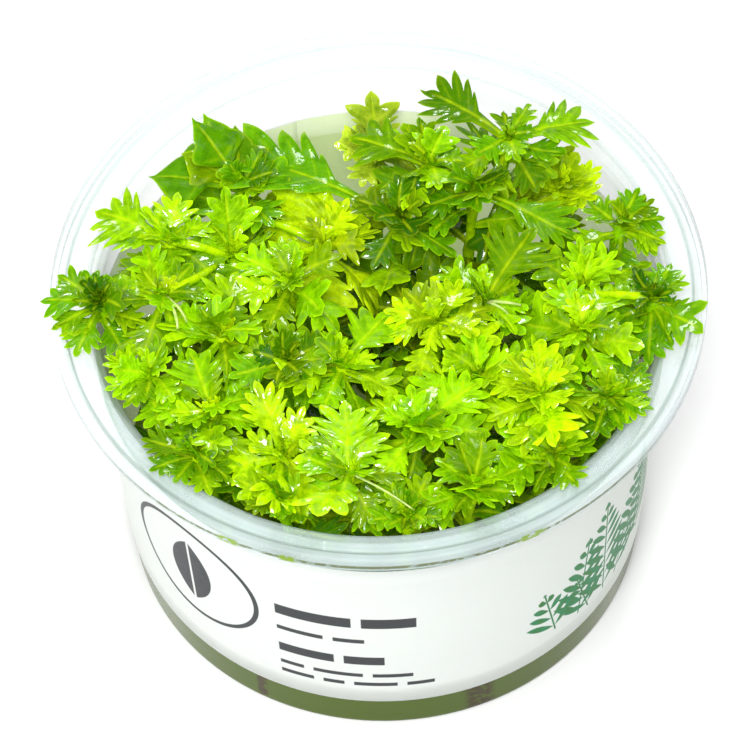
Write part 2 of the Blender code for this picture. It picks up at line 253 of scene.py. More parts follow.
@dataclass(frozen=True)
class ClearPlastic:
    """Thin clear plastic: see-through face on, with painted grey shade towards its edges and a milky flange.

    Its foot takes the colour of the gel, which fills the thick clear corner by refraction. Rings are a radius
    and how far each fades out, patches are a place east of the axis and a half-width, and a fade over heights
    or radii is where it starts and ends, all in mm.
    """

    milk: Colour = (0.760, 0.865, 0.865)
    shade: Colour = (0.660, 0.790, 0.790)
    # Painted shade: grey towards the edges where the plastic is seen aslant, standing in for refraction.
    grazing_shade: Colour = (0.370, 0.425, 0.430)
    # Painted shade: the colour of the grey refraction lines at the mouth, bead and flange's far edge.
    ring_line: Colour = (0.360, 0.450, 0.430)
    # Painted refraction: the olive colour of the line round the front of the rim, the plants' colour seen
    # through it.
    seam: Colour = (0.135, 0.155, 0.070)
    bit: Colour = (0.200, 0.330, 0.008)
    olive: Colour = (0.062, 0.100, 0.001)
    brown: Colour = (0.042, 0.030, 0.001)
    wall_cover: float = 0.02
    flange_cover: float = 0.30
    edge_cover: float = 0.85
    rim_refraction_cover: float = 0.85
    ring_cover: float = 0.75
    far_ring_cover: float = 0.8
    milky_fade: Pair = (52.0, 58.5)
    foot_fade: Pair = (7.9, 7.5)
    rim_fade: Pair = (49.2, 49.5)
    rings: tuple[Pair, Pair] = ((44.4, 0.7), (47.9, 0.5))
    ring_fade: Pair = (57.5, 58.5)
    far_ring: Pair = (49.5, 0.35)
    far_ring_fade: Pair = (59.5, 60.0)
    line_height: float = 59.35
    line_width: float = 0.5
    bit_width: float = 0.8
    bits: tuple[Pair, ...] = ((21.0, 2.7), (-14.8, 1.7), (-23.4, 2.0))
    earth: tuple[Pair, ...] = ((13.6, 2.8), (-20.6, 1.0))

    def make(self) -> Material:
        """The material."""
        surface = Surface("clear_moulded_plastic")
        east, north, up = surface.axes(surface.point())
        reach = (east * east + north * north).root()
        haze = surface.noise(9.0, 1.0)
        grit = surface.noise(1.2, 1.0)
        streaks = surface.rings(0.8)
        foot = self.fade(up, self.foot_fade)
        aslant = Value(surface, surface.node("ShaderNodeLayerWeight", None, {"Blend": 0.5}).outputs["Facing"])
        edge = aslant.ramp(0.46, 0.96) * aslant
        front = 0.0 - north
        # Painted refraction: a line of the plants' colour round the front of the rim, with green bits.
        line, bits = self.rim_refraction(grit, reach, east, front, up)
        rim_refraction_mask = line.at_least(bits)
        # Painted shade: grey refraction lines at the mouth, the bead and the flange's far edge.
        ring = self.painted_ring_shade(streaks, reach, front, up)
        milky = self.fade(up, self.milky_fade) * (haze + 0.5) * (front.ramp(-0.025, 0.040) * 0.45 + 0.55)
        cover = (milky * self.flange_cover + self.wall_cover).at_least(foot)
        cover = cover.at_least(rim_refraction_mask * self.rim_refraction_cover).at_least(ring * self.ring_cover)
        cover = cover + edge * self.edge_cover * (1.0 - cover)
        colour = surface.mix(streaks.ramp(0.35, 0.7), self.milk, self.shade)
        colour = surface.mix(ring, colour, self.ring_line)
        # Painted shade: greyer where the plastic is seen aslant, standing in for refraction at its edges.
        colour = surface.mix(edge.ramp(0.12, 0.60), colour, self.grazing_shade)
        earthy = self.patches(east, self.earth) * front.ramp(0.020, 0.030) * grit.ramp(0.26, 0.50)
        colour = surface.mix(foot, colour, surface.mix(earthy, self.olive, self.brown))
        colour = surface.mix(rim_refraction_mask, colour, surface.mix(bits, self.seam, self.bit))
        rough = haze.ramp(0.3, 0.8) * 0.1 + 0.08
        surface.set(base_color=colour, roughness=rough, alpha=cover, ior=1.22, specular_ior_level=0.34)
        surface.bump(streaks, 0.05, 0.4)
        return surface.material

    @staticmethod
    def fade(place: Value, between: Pair) -> Value:
        """0 up to the first of two places in mm and 1 past the second."""
        return place.ramp(between[0] * MM, between[1] * MM)

    @staticmethod
    def ridge(reach: Value, ring: Pair) -> Value:
        """A soft ring at a radius, fading out over a width on either side, both in mm."""
        return abs(reach - ring[0] * MM).ramp(ring[1] * MM, 0.0)

    @staticmethod
    def patches(east: Value, places: tuple[Pair, ...]) -> Value:
        """1 near each place east of the axis, fading out at its half-width, both in mm."""
        spots = [abs(east - middle * MM).ramp(half * MM, half * 0.5 * MM) for middle, half in places]
        return reduce(Value.at_least, spots)

    def painted_ring_shade(self, streaks: Value, reach: Value, front: Value, up: Value) -> Value:
        """Painted grey lines of refraction shade at the mouth, the bead and the flange's far edge.

        Args:
            streaks: soft bands that break them up.
            reach: the distance from the axis, in metres.
            front: the distance in front of the axis, in metres.
            up: the height, in metres.

        Returns:
            The lines' mask.
        """
        inner, outer = (self.ridge(reach, ring) for ring in self.rings)
        near = inner.at_least(outer) * self.fade(up, self.ring_fade)
        near = near * (front.ramp(-0.035, 0.010) * 0.20 + 0.80) * (streaks.ramp(0.35, 0.60) * 0.5 + 0.5)
        far = self.ridge(reach, self.far_ring) * self.fade(up, self.far_ring_fade) * front.ramp(0.010, -0.030)
        return near.at_least(far * self.far_ring_cover)

    def rim_refraction(self, grit: Value, reach: Value, east: Value, front: Value, up: Value) -> tuple[Value, Value]:
        """A thin line round the front of the rim, painted with the plants' colour as refraction shows it
        there, and green bits on it.

        Args:
            grit: fine noise that frays them.
            reach: the distance from the axis, in metres.
            east: the place along X, in metres.
            front: the distance in front of the axis, in metres.
            up: the height, in metres.

        Returns:
            Where the line is and where the bits are.
        """
        on_rim = self.fade(reach, self.rim_fade) * front.ramp(0.022, 0.036)
        off_line = abs(up - self.line_height * MM)
        line = off_line.ramp(self.line_width * MM, self.line_width * 0.5 * MM)
        line = line * (grit.ramp(0.36, 0.46) * 0.4 + 0.6)
        bits = off_line.ramp(self.bit_width * MM, self.bit_width * 0.8 * MM) * self.patches(east, self.bits)
        return line * on_rim, bits * grit.ramp(0.34, 0.42) * on_rim


@dataclass(frozen=True)
class Sprig:
    """A drawn stem with leaves: where it stands, its height and longest leaf in mm, its lean in degrees."""

    foot: float
    base: float
    height: float
    width: float
    lean: float


@dataclass(frozen=True)
class Print:
    """The label's printed side: a ring with a plain leaf, plain bars and leafy sprigs.

    Places on the film are mm round the cup from its front, and mm up. A row of bars is its foot, its height
    and the bars' widths.
    """

    paper: Colour = (0.765, 0.785, 0.795)
    greyer_paper: Colour = (0.745, 0.770, 0.785)
    ink: Colour = (0.035, 0.039, 0.042)
    day: Colour = (0.95, 0.95, 0.95)
    see_through: float = 0.22
    soft: float = 0.12
    ring_centre: Pair = (-33.5, 30.0)
    ring_radius: float = 12.3
    ring_line: float = 0.5
    rows: tuple[tuple[float, float, tuple[float, ...]], ...] = (
        (31.0, 3.0, (12.0, 8.5)),
        (26.2, 1.3, (7.5, 5.0)),
        (19.4, 2.6, (9.0, 6.5)),
        (15.4, 1.2, (4.0, 8.0, 6.5)),
        (12.6, 1.2, (5.5, 3.5, 7.0, 4.5)),
    )
    rows_start: float = -18.0
    bar_space: float = 1.4
    sprigs: tuple[Sprig, ...] = (
        Sprig(28.0, 13.5, 14.0, 6.0, -12.0),
        Sprig(52.0, 13.0, 29.0, 6.5, -5.0),
        Sprig(33.0, 12.5, 22.0, 7.0, 3.0),
        Sprig(46.5, 13.5, 26.0, 7.5, 5.0),
        Sprig(39.5, 12.0, 28.0, 7.5, -3.0),
        Sprig(43.0, 12.0, 14.0, 6.0, 14.0),
        Sprig(35.5, 12.0, 13.0, 6.0, -16.0),
    )
    pair_space: float = 3.1
    leaf_slant: float = 0.9
    stem_width: float = 0.22
    greens: tuple[Colour, Colour] = ((0.012, 0.150, 0.012), (0.012, 0.210, 0.085))

    def make(self) -> Material:
        """The material."""
        surface = Surface("printed_film")
        place = surface.node("ShaderNodeUVMap", {"uv_map": "film"}).outputs[0]
        across, up, _ = surface.axes(place)
        across, up = across * (1.0 / MM), up * (1.0 / MM)
        grain = surface.noise(1.1, 3.0)
        colour = surface.mix(grain.ramp(0.3, 0.8), self.paper, self.greyer_paper)
        printed = self.bars(across, up).at_least(self.emblem(across, up))
        colour = surface.mix(printed, colour, self.ink)
        for number, sprig in enumerate(self.sprigs):
            first, second = self.greens[number % 2], self.greens[(number + 1) % 2]
            leafy = surface.mix(grain.ramp(0.35, 0.65), first, second)
            mask = self.draw(sprig, across, up)
            colour = surface.mix(mask, colour, leafy)
            printed = printed.at_least(mask)
        surface.set(base_color=colour, roughness=grain.ramp(0.2, 0.9) * 0.12 + 0.36, specular_ior_level=0.14)
        surface.bump(surface.noise(14.0, 1.0), 0.12, 0.3)
        through = surface.node("ShaderNodeBsdfTranslucent", None, {"Color": self.day})
        surface.blend((1.0 - printed) * self.see_through, through.outputs[0])
        return surface.material

    def bar(self, across: Value, up: Value, start: float, foot: float, width: float, height: float) -> Value:
        """1 inside an upright rectangle with soft edges, 0 outside."""
        beside = width * 0.5 - abs(across - (start + width * 0.5))
        above = height * 0.5 - abs(up - (foot + height * 0.5))
        return beside.ramp(0.0, self.soft) * above.ramp(0.0, self.soft)

    def bars(self, across: Value, up: Value) -> Value:
        """Every bar of every row."""
        masks = []
        for foot, height, widths in self.rows:
            start = self.rows_start
            for width in widths:
                masks.append(self.bar(across, up, start, foot, width, height))
                start += width + self.bar_space
        return reduce(Value.at_least, masks)

    def emblem(self, across: Value, up: Value) -> Value:
        """A ring round a leaf, where the leaf is what two circles share, parted by its midrib."""
        beside, above = across - self.ring_centre[0], up - self.ring_centre[1]
        reach = (beside * beside + above * above).root()
        ring = (self.ring_line - abs(reach - self.ring_radius)).ramp(0.0, self.soft)
        offset, radius = self.ring_radius * 0.55, self.ring_radius * 0.88
        left = ((beside - offset) * (beside - offset) + above * above).root()
        right = ((beside + offset) * (beside + offset) + above * above).root()
        leaf = (radius - left.at_least(right)).ramp(0.0, self.soft)
        midrib = abs(beside).ramp(0.15, 0.3)
        return ring.at_least(leaf * midrib)

    def draw(self, sprig: Sprig, across: Value, up: Value) -> Value:
        """1 on a stem and its pairs of oval leaves.

        Along the stem the places are sheared outwards, so that each leaf slants up. A leaf fills the middle
        of its stretch of stem, as wide as a parabola over its length, which narrows towards the tip.

        Args:
            sprig: the sprig.
            across: mm round the cup.
            up: mm up the cup.

        Returns:
            The sprig's mask.
        """
        turn = math.radians(sprig.lean)
        beside, above = across - sprig.foot, up - sprig.base
        along = above * math.cos(turn) + beside * math.sin(turn)
        aside = abs(beside * math.cos(turn) - above * math.sin(turn))
        share = (along / sprig.height).at_least(0.0)
        reach = (1.0 - share * share) * sprig.width
        out = aside / reach.at_least(0.01)
        slanted = along - aside * self.leaf_slant
        place = abs((slanted / self.pair_space).fraction() - 0.5)
        leaf = (out * (1.0 - out) * 1.5 - place).ramp(0.0, 0.08) * slanted.ramp(0.0, 0.1)
        stem = (self.stem_width - aside).ramp(0.0, self.soft)
        inside = share.ramp(0.0, 0.02) * (1.0 - share).ramp(0.0, 0.02)
        return leaf.at_least(stem) * inside


@dataclass(frozen=True)
class FilmBack:
    """The label's inner side: white film with the plants' green light painted on it, deeper over the lapped
    band, and a painted glow of light let through.
    """

    plain: Colour = (0.58, 0.66, 0.37)
    pale: Colour = (0.62, 0.68, 0.48)
    deep: Colour = (0.46, 0.57, 0.22)
    glow: Colour = (0.90, 0.97, 0.80)
    band: Place = (-14.0, 18.0, 44.0)
    let_through: float = 0.28
    day: float = 0.55

    def make(self) -> Material:
        """The material."""
        surface = Surface("label_back")
        east, north, up = surface.axes(surface.point())
        low, high, top = (edge * MM for edge in self.band)
        behind = north.ramp(0.0, 0.004)
        lapped = (east - low).ramp(0.0, 0.0002) * (high - east).ramp(0.0, 0.004)
        lapped = lapped * (top - up).ramp(0.0, 0.0002)
        blotches = surface.noise(7.0, 3.0).ramp(0.35, 0.75)
        # Painted light: the film's green is light thrown on it by the plants, deeper over the lapped band.
        colour = surface.mix(blotches, self.plain, self.pale)
        colour = surface.mix(lapped * behind * 0.8, colour, self.deep)
        surface.set(base_color=colour, roughness=blotches * 0.15 + 0.4, specular_ior_level=0.2)
        # Painted glow: the emission stands in for daylight coming through the film.
        surface.set(emission_color=colour, emission_strength=self.day)
        through = surface.node("ShaderNodeBsdfTranslucent", None, {"Color": self.glow})
        surface.blend(self.let_through, through.outputs[0])
        return surface.material


@dataclass(frozen=True)
class Jelly:
    """Moist olive nutrient gel with brown patches where old roots show."""

    olive: Colour = (0.150, 0.205, 0.030)
    light: Colour = (0.230, 0.300, 0.055)
    brown: Colour = (0.130, 0.060, 0.015)

    def make(self) -> Material:
        """The material."""
        surface = Surface("nutrient_gel")
        cloud = surface.noise(16.0, 2.0)
        spots = surface.noise(6.5, 2.0)
        colour = surface.mix(cloud.ramp(0.35, 0.7), self.olive, self.light)
        colour = surface.mix(spots.ramp(0.60, 0.68), colour, self.brown)
        surface.set(base_color=colour, roughness=cloud.ramp(0.3, 0.7) * 0.15 + 0.18, specular_ior_level=0.15)
        surface.bump(surface.noise(5.0, 3.0), 0.4, 0.5)
        return surface.material


@dataclass(frozen=True)
class LeafSkin:
    """Wet leaf: the piece's own tint, a lighter midrib and veins, mottling, painted shade between the veins,
    a painted highlight along the edge, glints and let-through light.

    The blade attribute holds mm from the midrib, the share of the way to the edge, and the lobe's number
    with its fraction, so that a half is the middle of a lobe.
    """

    vein: Colour = (0.74, 0.92, 0.01)
    shadow: Colour = (0.025, 0.150, 0.0)
    glow: Colour = (0.50, 0.95, 0.001)
    glow_share: float = 0.30

    def make(self) -> Material:
        """The material."""
        surface = Surface("wet_leaf")
        own = surface.node("ShaderNodeAttribute", {"attribute_name": "tint"})
        tint, soaked = own.outputs["Color"], Value(surface, own.outputs["Alpha"])
        blade = surface.node("ShaderNodeAttribute", {"attribute_name": "blade"}).outputs["Vector"]
        beside, out, lobe = surface.axes(blade)
        mottle = surface.noise(1.6, 3.0)
        wet = surface.noise(2.6, 1.0) + soaked * 0.16
        sparkle = surface.noise(0.5, 1.0)
        midrib = abs(beside).ramp(0.42, 0.08) * (1.0 - out.ramp(0.4, 0.8))
        vein = abs(lobe.fraction() - 0.5).ramp(0.16, 0.02) * out.ramp(0.05, 0.2) * (1.0 - out.ramp(0.6, 0.95))
        colour = surface.mix((midrib * 0.46).at_least(vein * 0.12), tint, self.vein)
        # Painted highlight: the leaf's edge is painted lighter, where light comes through it.
        rim_highlight = out.ramp(0.88, 1.0)
        # Painted shade: darker between the veins, and darker in mottled patches.
        between = out.ramp(0.1, 0.4) * (1.0 - out.ramp(0.7, 0.95)) * (1.0 - vein.at_least(midrib)) * 0.22
        darker = mottle.ramp(0.42, 0.70) * 0.42
        colour = surface.mix((darker + between) * (1.0 - rim_highlight), colour, self.shadow)
        colour = surface.mix(rim_highlight * 0.28, colour, self.vein)
        surface.set(
            base_color=colour,
            roughness=mottle.ramp(0.3, 0.7) * 0.2 + 0.22,
            specular_ior_level=0.05,
            coat_weight=wet.ramp(0.56, 0.60) * sparkle.ramp(0.40, 0.48),
            coat_roughness=0.10,
            coat_ior=1.9,
        )
        relief = midrib * -0.5 + vein * -0.2 + mottle * 1.2 + sparkle * 0.6
        surface.bump(relief * (1.05 - soaked * 0.35), 0.30, 0.9)
        through = surface.node("ShaderNodeBsdfTranslucent", None, {"Color": self.glow})
        surface.blend(self.glow_share, through.outputs[0])
        return surface.material


@dataclass
class Body:
    """Points and faces that are gathered for one mesh, with a tint and a blade place at each point."""

    points: list[Array] = field(default_factory=list)
    faces: list[Array] = field(default_factory=list)
    tints: list[Array] = field(default_factory=list)
    blades: list[Array] = field(default_factory=list)
    count: int = 0

    def add(self, points: Array, faces: Iterable[Array], tint: Array, blade: Array) -> None:
        """Adds one closed form.

        Args:
            points: an array of (n, 3) places in mm.
            faces: arrays of corner numbers, one for each number of corners.
            tint: (n, 4) or (4,) colours, whose last number is how wet the skin is.
            blade: (n, 3) or (3,) blade places.
        """
        self.points.append(points)
        self.faces.extend(array + self.count for array in faces)
        self.tints.append(np.broadcast_to(tint, (len(points), 4)))
        self.blades.append(np.broadcast_to(blade, points.shape))
        self.count += len(points)

    def mesh(self, name: str) -> Mesh:
        """The gathered forms as one mesh, with its attributes."""
        mesh = write_mesh(name, np.concatenate(self.points), self.faces)
        tint = np.concatenate(self.tints).astype(np.float32)
        mesh.attributes.new("tint", "FLOAT_COLOR", "POINT").data.foreach_set("color", tint.ravel())
        blade = np.concatenate(self.blades).astype(np.float32)
        mesh.attributes.new("blade", "FLOAT_VECTOR", "POINT").data.foreach_set("vector", blade.ravel())
        ends = np.zeros(len(mesh.edges) * 2, np.int32)
        mesh.edges.foreach_get("vertices", ends)
        crisp = (blade[ends, 1] > 0.999).reshape(-1, 2).all(axis=1)
        mesh.attributes.new("sharp_edge", "BOOLEAN", "EDGE").data.foreach_set("value", crisp)
        return mesh


def write_mesh(name: str, points: Array, faces: Iterable[Array]) -> Mesh:
    """Writes whole arrays into a smooth-shaded mesh.

    Args:
        name: the mesh's name.
        points: an array of (n, 3) places in mm.
        faces: arrays of corner numbers, one for each number of corners.

    Returns:
        The mesh, in metres.
    """
    corners = [array.reshape(-1) for array in faces]
    sizes = np.concatenate([np.full(len(array), array.shape[1]) for array in faces])
    mesh = bpy.data.meshes.new(name)
    mesh.vertices.add(len(points))
    mesh.vertices.foreach_set("co", (points * MM).astype(np.float32).ravel())
    mesh.loops.add(int(sizes.sum()))
    mesh.loops.foreach_set("vertex_index", np.concatenate(corners).astype(np.int32))
    mesh.polygons.add(len(sizes))
    starts = np.concatenate([[0], np.cumsum(sizes)[:-1]])
    mesh.polygons.foreach_set("loop_start", starts.astype(np.int32))
    mesh.polygons.foreach_set("use_smooth", np.ones(len(sizes), bool))
    mesh.update(calc_edges=True)
    mesh.validate()
    return mesh


def dress(name: str, mesh: Mesh, materials: list[Material], slot: Slot, node: str) -> None:
    """Makes the object that stands for a node, rides on the one body and takes its finish.

    Args:
        name: the piece's name.
        mesh: its mesh, in place.
        materials: its materials, in the order of the mesh's material numbers.
        slot: the piece's finish; not used.
        node: the node that it stands for.
    """
    for material in materials:
        mesh.materials.append(material)
    piece = bpy.data.objects.new(name, mesh)
    bpy.context.scene.collection.objects.link(piece)
    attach(piece, "root")
    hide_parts(node)
    LOG.info("%s stands for %s with %d faces", name, node, len(mesh.polygons))


def rounded(outline: list[tuple[float, float, float]], steps: int = 4) -> Array:
    """Rounds the corners of a section.

    Each corner gives way to a quadratic curve between the two points that lie its radius away along its
    sides, with the corner as the control point.

    Args:
        outline: (radius from the axis, height, rounding) for each corner, in mm.
        steps: how many pieces each rounded corner has.

    Returns:
        The section's points.
    """
    corners = np.array([corner[:2] for corner in outline])
    points = [corners[:1]]
    share = np.linspace(0.0, 1.0, steps + 1)[:, None]
    for before, corner, after, (_, _, radius) in zip(corners, corners[1:], corners[2:], outline[1:]):
        if radius == 0.0:
            points.append(corner[None])
            continue
        back, ahead = before - corner, after - corner
        reach = min(radius, 0.49 * np.hypot(*back), 0.49 * np.hypot(*ahead))
        start = corner + back / np.hypot(*back) * reach
        end = corner + ahead / np.hypot(*ahead) * reach
        points.append((1 - share) ** 2 * start + 2 * share * (1 - share) * corner + share ** 2 * end)
    points.append(corners[-1:])
    return np.concatenate(points)


def closed_rings(rings: Array, ends: Array) -> tuple[Array, list[Array]]:
    """Joins rings of points by quads, and each end ring to a single point by a fan of triangles.

    The faces look outwards where the sides run clockwise, seen from the last end.

    Args:
        rings: (rings, sides, 3) points.
        ends: (2, 3) points, one before the first ring and one after the last.

    Returns:
        The points, then the quads and the triangles.
    """
    count, sides = rings.shape[:2]
    points = np.concatenate([rings.reshape(-1, 3), ends])
    ring, side = np.meshgrid(np.arange(count - 1), np.arange(sides), indexing="ij")
    here, there = ring * sides + side, ring * sides + (side + 1) % sides
    quads = np.stack([here, here + sides, there + sides, there], axis=2).reshape(-1, 4)
    side = np.arange(sides)
    ahead = (side + 1) % sides
    last, pole = (count - 1) * sides, count * sides
    first_fan = np.stack([np.full(sides, pole), side, ahead], axis=1)
    last_fan = np.stack([np.full(sides, pole + 1), last + ahead, last + side], axis=1)
    return points, [quads, np.concatenate([first_fan, last_fan])]


def turned(section: Array, steps: int) -> tuple[Array, list[Array]]:
    """Turns a section that starts and ends on the axis into a closed surface.

    A point at (radius, height) goes to (radius cos a, radius sin a, height) for each angle a. The two ends
    stay single points.

    Args:
        section: (n, 2) points from the axis back to the axis, with the solid on the right of the way.
        steps: how many sides the surface has.

    Returns:
        The points and the arrays of faces.
    """
    angle = np.arange(steps) * (2.0 * math.pi / steps)
    radius, height = section[1:-1, :1], section[1:-1, 1:]
    rings = np.stack(np.broadcast_arrays(radius * np.cos(angle), radius * np.sin(angle), height), axis=2)
    return closed_rings(rings, np.insert(section[[0, -1]] * (0.0, 1.0), 1, 0.0, axis=1))


@dataclass
class Cup:
    """The clear tub with its flange, a finer turning of the model's section with rounded edges."""

    steps: int = 220
    height: float = 61.0
    wall: float = 1.0
    base_radius: float = 41.2
    taper: float = 0.0496
    corner: float = 3.0
    foot_corner: float = 0.8
    neck_height: float = 57.0
    mouth_radius: float = 44.6
    mouth_height: float = 59.5
    flange_radius: float = 50.0
    flange: float = 0.9
    seat_radius: float = 47.8
    bead_radius: float = 48.8
    skirt_drop: float = 2.6
    skirt: float = 0.8
    leaf_gap: float = 0.35
    open_reach: float = 60.0

    def outer(self, height: Union[float, Array]) -> Union[float, Array]:
        """The wall's outer radius at a height."""
        return self.base_radius + self.taper * height

    def room(self, height: Array) -> Array:
        """How far from the axis a leaf may reach at each height, over the flange once it is clear of it."""
        limits = (
            (0.0, self.outer(0.0) - self.wall),
            (self.neck_height, self.outer(self.neck_height) - self.wall),
            (self.mouth_height, self.mouth_radius),
            (self.mouth_height + 2.0 * self.leaf_gap, self.seat_radius - 0.4),
            (self.height + self.leaf_gap, self.open_reach),
        )
        return np.interp(height, *zip(*limits)) - self.leaf_gap

    def section(self) -> Array:
        """The section from the inside's middle out over the flange and back under the base."""
        seat = self.mouth_height + 0.3
        foot = self.height - self.skirt_drop
        inner_skirt = self.flange_radius - self.skirt
        return rounded([
            (0.0, self.wall, 0.0),
            (self.outer(self.wall) - self.wall, self.wall, self.corner),
            (self.outer(self.neck_height) - self.wall, self.neck_height, 0.8),
            (self.mouth_radius, self.mouth_height, 0.7),
            (self.seat_radius, seat, 0.4),
            (self.bead_radius, self.height, 0.35),
            (self.flange_radius, self.height, 0.4),
            (self.flange_radius, foot, 0.25),
            (inner_skirt, foot, 0.25),
            (inner_skirt, self.height - self.flange, 0.3),
            (self.seat_radius, seat - self.flange, 0.4),
            (self.mouth_radius + self.wall, self.mouth_height - self.flange, 0.7),
            (self.outer(self.neck_height), self.neck_height, 0.8),
            (self.outer(0.0), 0.0, self.foot_corner),
            (0.0, 0.0, 0.0),
        ])

    def build(self) -> None:
        """Makes the cup and dresses it."""
        points, faces = turned(self.section(), self.steps)
        mesh = write_mesh("clear_cup", points, faces)
        dress("clear_cup", mesh, [ClearPlastic().make()], Slot.CLEAR, "cup")


@dataclass
class Label:
    """The printed film round the wall, whose end laps over its start at the back."""

    cup: Cup
    foot: float = 7.6
    top: float = 48.5
    clearance: float = 0.12
    thickness: float = 0.14
    lap: float = 7.0
    lap_gap: float = 0.03
    lap_from: float = 352.0
    lap_ease: float = 8.0
    seam: float = 106.0
    front: float = 270.0
    steps: int = 260
    rows: int = 10

    def build(self) -> None:
        """Makes the film: two sheets a thickness apart, joined round their edges.

        The film starts at the seam's angle and goes once round and on by the lap. Over the lap it lies a
        thickness further out, which it gains smoothly just before.
        """
        turn = np.linspace(0.0, 360.0 + self.lap, self.steps)
        climb = np.linspace(0.0, 1.0, self.rows)
        gain = np.clip((turn - self.lap_from) / self.lap_ease, 0.0, 1.0)
        lift = gain * gain * (3.0 - 2.0 * gain) * (self.thickness + self.lap_gap)
        angle = np.radians(self.seam + turn)[:, None]
        height = (self.foot + (self.top - self.foot) * climb)[None, :]
        inner = self.cup.outer(height) + self.clearance + lift[:, None]
        sheets = []
        for radius in (inner + self.thickness, inner):
            round_x, round_y = radius * np.cos(angle), radius * np.sin(angle)
            sheets.append(np.stack([round_x, round_y, np.broadcast_to(height, radius.shape)], axis=2))
        points = np.concatenate([sheet.reshape(-1, 3) for sheet in sheets])
        across, up = np.meshgrid(np.arange(self.steps - 1), np.arange(self.rows - 1), indexing="ij")
        here = (across * self.rows + up).reshape(-1)
        outer = np.stack([here, here + self.rows, here + self.rows + 1, here + 1], axis=1)
        half = self.steps * self.rows
        border = self.border()
        edge = np.stack([border, np.roll(border, -1), np.roll(border, -1) + half, border + half], axis=1)
        faces = [np.concatenate([outer, outer[:, ::-1] + half, edge[:, ::-1]])]
        mesh = write_mesh("wrap_label", points, faces)
        sides = np.zeros(len(mesh.polygons), np.int32)
        sides[len(outer):2 * len(outer)] = 1
        mesh.polygons.foreach_set("material_index", sides)
        self.lay_film(mesh, turn, height)
        dress("wrap_label", mesh, [Print().make(), FilmBack().make()], Slot.FILM, "label")

    def border(self) -> Array:
        """The numbers of the points round the film's edge, in order."""
        last = (self.steps - 1) * self.rows
        foot = np.arange(0, last, self.rows)
        end = np.arange(last, last + self.rows - 1)
        top = np.arange(last + self.rows - 1, self.rows - 1, -self.rows)
        start = np.arange(self.rows - 1, 0, -1)
        return np.concatenate([foot, end, top, start])

    def lay_film(self, mesh: Mesh, turn: Array, height: Array) -> None:
        """Gives the film its flat map: metres round the cup from its front, and metres up.

        Args:
            mesh: the film's mesh.
            turn: each column's angle past the seam, in degrees.
            height: each row's height, in mm.
        """
        middle = self.cup.outer((self.foot + self.top) * 0.5)
        round_from_front = np.radians(self.seam + turn - self.front)[:, None] * middle
        flat = np.stack(np.broadcast_arrays(round_from_front, height), axis=2).reshape(-1, 2) * MM
        flat = np.concatenate([flat, flat])
        corners = np.zeros(len(mesh.loops), np.int32)
        mesh.loops.foreach_get("vertex_index", corners)
        layer = mesh.uv_layers.new(name="film")
        layer.data.foreach_set("uv", flat[corners].astype(np.float32).ravel())


@dataclass
class Gel:
    """The jelly in the bottom, with a slightly uneven top that climbs a little at the wall."""

    cup: Cup
    top: float = 15.0
    gap: float = 0.04
    climb: float = 0.15
    climb_width: float = 0.4
    rings: int = 24
    steps: int = 160
    swell: float = 0.35

    def build(self) -> None:
        """Makes the gel: the turned space inside the cup, whose top dips by slow waves.

        Away from the wall the top is lower by the climb and by swell (0.5 - 0.5 sin(0.31 x + 1) cos(0.27 y)).
        """
        floor = self.cup.wall + self.gap
        inner = self.cup.outer(self.top) - self.cup.wall - self.gap
        flat, low = inner - self.climb_width, self.top - self.climb
        reach = np.linspace(0.0, flat, self.rings)
        crown = np.stack([reach, np.full_like(reach, low)], axis=1)
        side = rounded([
            (flat, low, 0.0),
            (inner, self.top, 0.2),
            (self.cup.outer(floor) - self.cup.wall - self.gap, floor, self.cup.corner),
            (0.0, floor, 0.0),
        ])
        points, faces = turned(np.concatenate([crown, side[1:]]), self.steps)
        east, north, up = points.T
        upper = (up > self.top - 0.2) & (np.hypot(east, north) < inner - 0.2)
        waves = np.sin(east * 0.31 + 1.0) * np.cos(north * 0.27) * 0.5 - 0.5
        points[:, 2] += np.where(upper, waves * self.swell, 0.0)
        mesh = write_mesh("gel_bed", points, faces)
        dress("gel_bed", mesh, [Jelly().make()], Slot.GEL, "gel")


@dataclass(frozen=True)
class Leaf:
    """One leaf: where its stalk starts, which way and how steeply it goes, and its form."""

    root: Place
    heading: float
    rise: float
    length: float
    share: float = 0.36
    lobes: int = 4
    droop: float = 34.0
    gutter: float = 0.22
    roll: float = 0.0
    sweep: float = 0.0
    wave: float = 0.05
    notch: float = 0.55
    stalk: float = 0.34
    acute: float = 0.55
    taper: float = 1.0
    point: float = 1.5


@lru_cache(maxsize=None)
def leaf_weave(lobes: int, per_lobe: int, stalk_steps: int, rings: int) -> tuple[Array, Array, int]:
    """How the points of a leaf's two sheets are numbered and joined.

    The grid's columns go from the right side of the stalk's foot round the tip to its left side, and its
    rings from the midrib to the edge. Left and right columns share their midrib points, and the two
    sheets share the edge and the foot, so the leaf is closed.

    Args:
        lobes: lobes on each side of the tip.
        per_lobe: columns to a lobe.
        stalk_steps: columns along the stalk on each side.
        rings: rings from the midrib to the edge.

    Returns:
        The point numbers of both sheets, as (2, columns, rings), the faces, and how many points there are.
    """
    half = per_lobe * lobes + per_lobe // 2 + stalk_steps
    columns = 2 * half + 1
    number = np.arange(2 * columns * rings).reshape(2, columns, rings)
    mirror = np.minimum(np.arange(columns), columns - 1 - np.arange(columns))
    number[:, :, 0] = number[:, mirror, 0]
    number[1, :, -1] = number[0, :, -1]
    number[1, [0, -1], :] = number[0, [0, -1], :]
    _, compact = np.unique(number, return_inverse=True)
    number = compact.reshape(2, columns, rings)
    near, far = number[:, :-1], number[:, 1:]
    upper = np.stack([near[0, :, :-1], near[0, :, 1:], far[0, :, 1:], far[0, :, :-1]], axis=2)
    lower = np.stack([near[1, :, :-1], far[1, :, :-1], far[1, :, 1:], near[1, :, 1:]], axis=2)
    faces = np.concatenate([upper.reshape(-1, 4), lower.reshape(-1, 4)])
    return number, faces, int(number.max()) + 1


